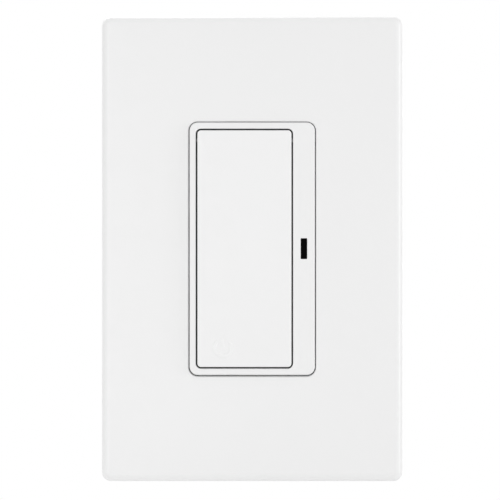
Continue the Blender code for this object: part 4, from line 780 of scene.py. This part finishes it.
def raised(name, path, face):
    """A rounded stroke along a path of places, raised from the pad's face."""
    half = SIGN_STROKE / 2
    rings = []
    for index, (x, z) in enumerate(path):
        before = path[max(0, index - 1)]
        after = path[min(len(path) - 1, index + 1)]
        along = Vector((after[0] - before[0], 0, after[1] - before[1])).normalized()
        aside = along.cross(BACK) * half
        middle = Vector((x, face, z))
        points = [middle - aside + BACK * SIGN_SINK, middle + aside + BACK * SIGN_SINK]
        for step in range(SIGN_PROFILE_STEPS + 1):
            angle = math.pi * step / SIGN_PROFILE_STEPS
            points.append(middle + aside * math.cos(angle) - BACK * SIGN_RISE * math.sin(angle))
        rings.append(points)
    return loft(name, rings)


def build_sign():
    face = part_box("push_pad")[0].y
    left, top = photo_place(SIGN_LEFT, SIGN_TOP, face)
    right, bottom = photo_place(SIGN_RIGHT, SIGN_BOTTOM, face)
    middle_x, middle_z = (left + right) / 2, (top + bottom) / 2
    radius = (top - bottom) / 2 - SIGN_STROKE
    arc = []
    for step in range(SIGN_STEPS + 1):
        angle = math.pi / 2 + SIGN_OPENING + (math.tau - 2 * SIGN_OPENING) * step / SIGN_STEPS
        arc.append((middle_x + radius * math.cos(angle), middle_z + radius * math.sin(angle)))
    bar = [(middle_x, middle_z + radius * share) for share in SIGN_BAR]
    for name, path in (("pad_sign_ring", arc), ("pad_sign_bar", bar)):
        stroke = raised(name, path, face)
        dress(stroke, "pad_plastic")
        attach(stroke, "pad")


# Light, floor and camera

def build_world():
    """White to the camera and to reflections, and a plain soft light to everything else."""
    world = bpy.data.worlds.new("studio")
    bpy.context.scene.world = world
    world.use_nodes = True
    background = world.node_tree.nodes["Background"]
    background.inputs["Color"].default_value = (1, 1, 1, 1)
    path = add(world, "LightPath")
    seen = path.outputs["Is Camera Ray"]
    for name in ("Is Glossy Ray", "Is Transmission Ray"):
        seen = maths(world, "MAXIMUM", seen, path.outputs[name])
    level = add(world, "MapRange", Value=seen, To_Min=AMBIENT, To_Max=1.0)
    feed(world, level.outputs["Result"], background.inputs["Strength"])


def build_lights():
    for name, (place, size, power) in LAMPS.items():
        data = bpy.data.lights.new(name, "AREA")
        data.shape = "RECTANGLE"
        data.size, data.size_y = size
        data.energy = power
        lamp = bpy.data.objects.new(name, data)
        lamp.location = place
        lamp.rotation_euler = (ORIGIN - Vector(place)).to_track_quat("-Z", "Y").to_euler()
        bpy.context.scene.collection.objects.link(lamp)


def fade_to_white(material, shader):
    """Plain white in place of a surface towards the floor's rim, for the camera alone."""
    away = add(material, "VectorMath")
    away.operation = "LENGTH"
    feed(material, add(material, "TexCoord").outputs["Object"], away.inputs[0])
    rim = add(
        material,
        "MapRange",
        Value=away.outputs["Value"],
        From_Min=FLOOR_FADE_START * FLOOR_RADIUS,
        From_Max=FLOOR_FADE_END * FLOOR_RADIUS,
    )
    camera = add(material, "LightPath").outputs["Is Camera Ray"]
    fade = maths(material, "MULTIPLY", rim.outputs["Result"], camera)
    white = add(material, "Emission", Strength=1.0)
    mix = add(material, "MixShader", Fac=fade)
    feed(material, shader.outputs["BSDF"], mix.inputs[1])
    feed(material, white.outputs["Emission"], mix.inputs[2])
    output = material.node_tree.nodes["Material Output"]
    feed(material, mix.outputs["Shader"], output.inputs["Surface"])


def floor_look():
    """A pale floor that keeps shadows and fades to the white background at its rim."""
    material, shader = material_of("floor_look", roughness=0.8)
    cloud = spread(material, noise(material, scale=6))
    feed(material, blend(material, cloud, FLOOR_DARK, FLOOR_LIGHT), shader.inputs["Base Color"])
    fade_to_white(material, shader)
    return material


def build_floor():
    mesh = bmesh.new()
    bmesh.ops.create_circle(mesh, cap_ends=True, segments=FLOOR_SIDES, radius=FLOOR_RADIUS)
    data = bpy.data.meshes.new("floor")
    mesh.to_mesh(data)
    mesh.free()
    floor = bpy.data.objects.new("floor", data)
    floor.location = (0, 0, cad_box[0].z - FLOOR_DROP)
    floor.data.materials.append(floor_look())
    bpy.context.scene.collection.objects.link(floor)


def build_camera():
    """Straight in front of the plate, as far off as makes it as tall as in the photograph."""
    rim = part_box("wall_plate")[1].y
    data = bpy.data.cameras.new("camera")
    data.lens = FOCAL_LENGTH
    data.sensor_width = SENSOR_WIDTH
    camera = bpy.data.objects.new("camera", data)
    x, z = photo_place(PHOTO_PIXELS / 2, PHOTO_PIXELS / 2, rim)
    camera.location = (x, rim - camera_distance(), z)
    camera.rotation_euler = (math.pi / 2, 0, 0)
    bpy.context.scene.collection.objects.link(camera)
    bpy.context.scene.camera = camera


# Assembly

record = frame["record"]
slots = {part["node"]: part["material_slot"] for part in record["subparts"]}
bodies = {node: body for body, nodes in record["behaviour"]["bodies"].items() for node in nodes}
bpy.context.scene.view_settings.view_transform = "Standard"
finishes = make_finishes()
for name, node in frame["nodes"].items():
    dress(node, slots[name])
for name, width in SOFT_EDGES.items():
    soften(name, width)
build_rear_screws()
build_side_screws()
build_springs()
build_pin_marks()
build_gap_shade_sheet()
build_sign()
build_world()
build_lights()
build_floor()
build_camera()
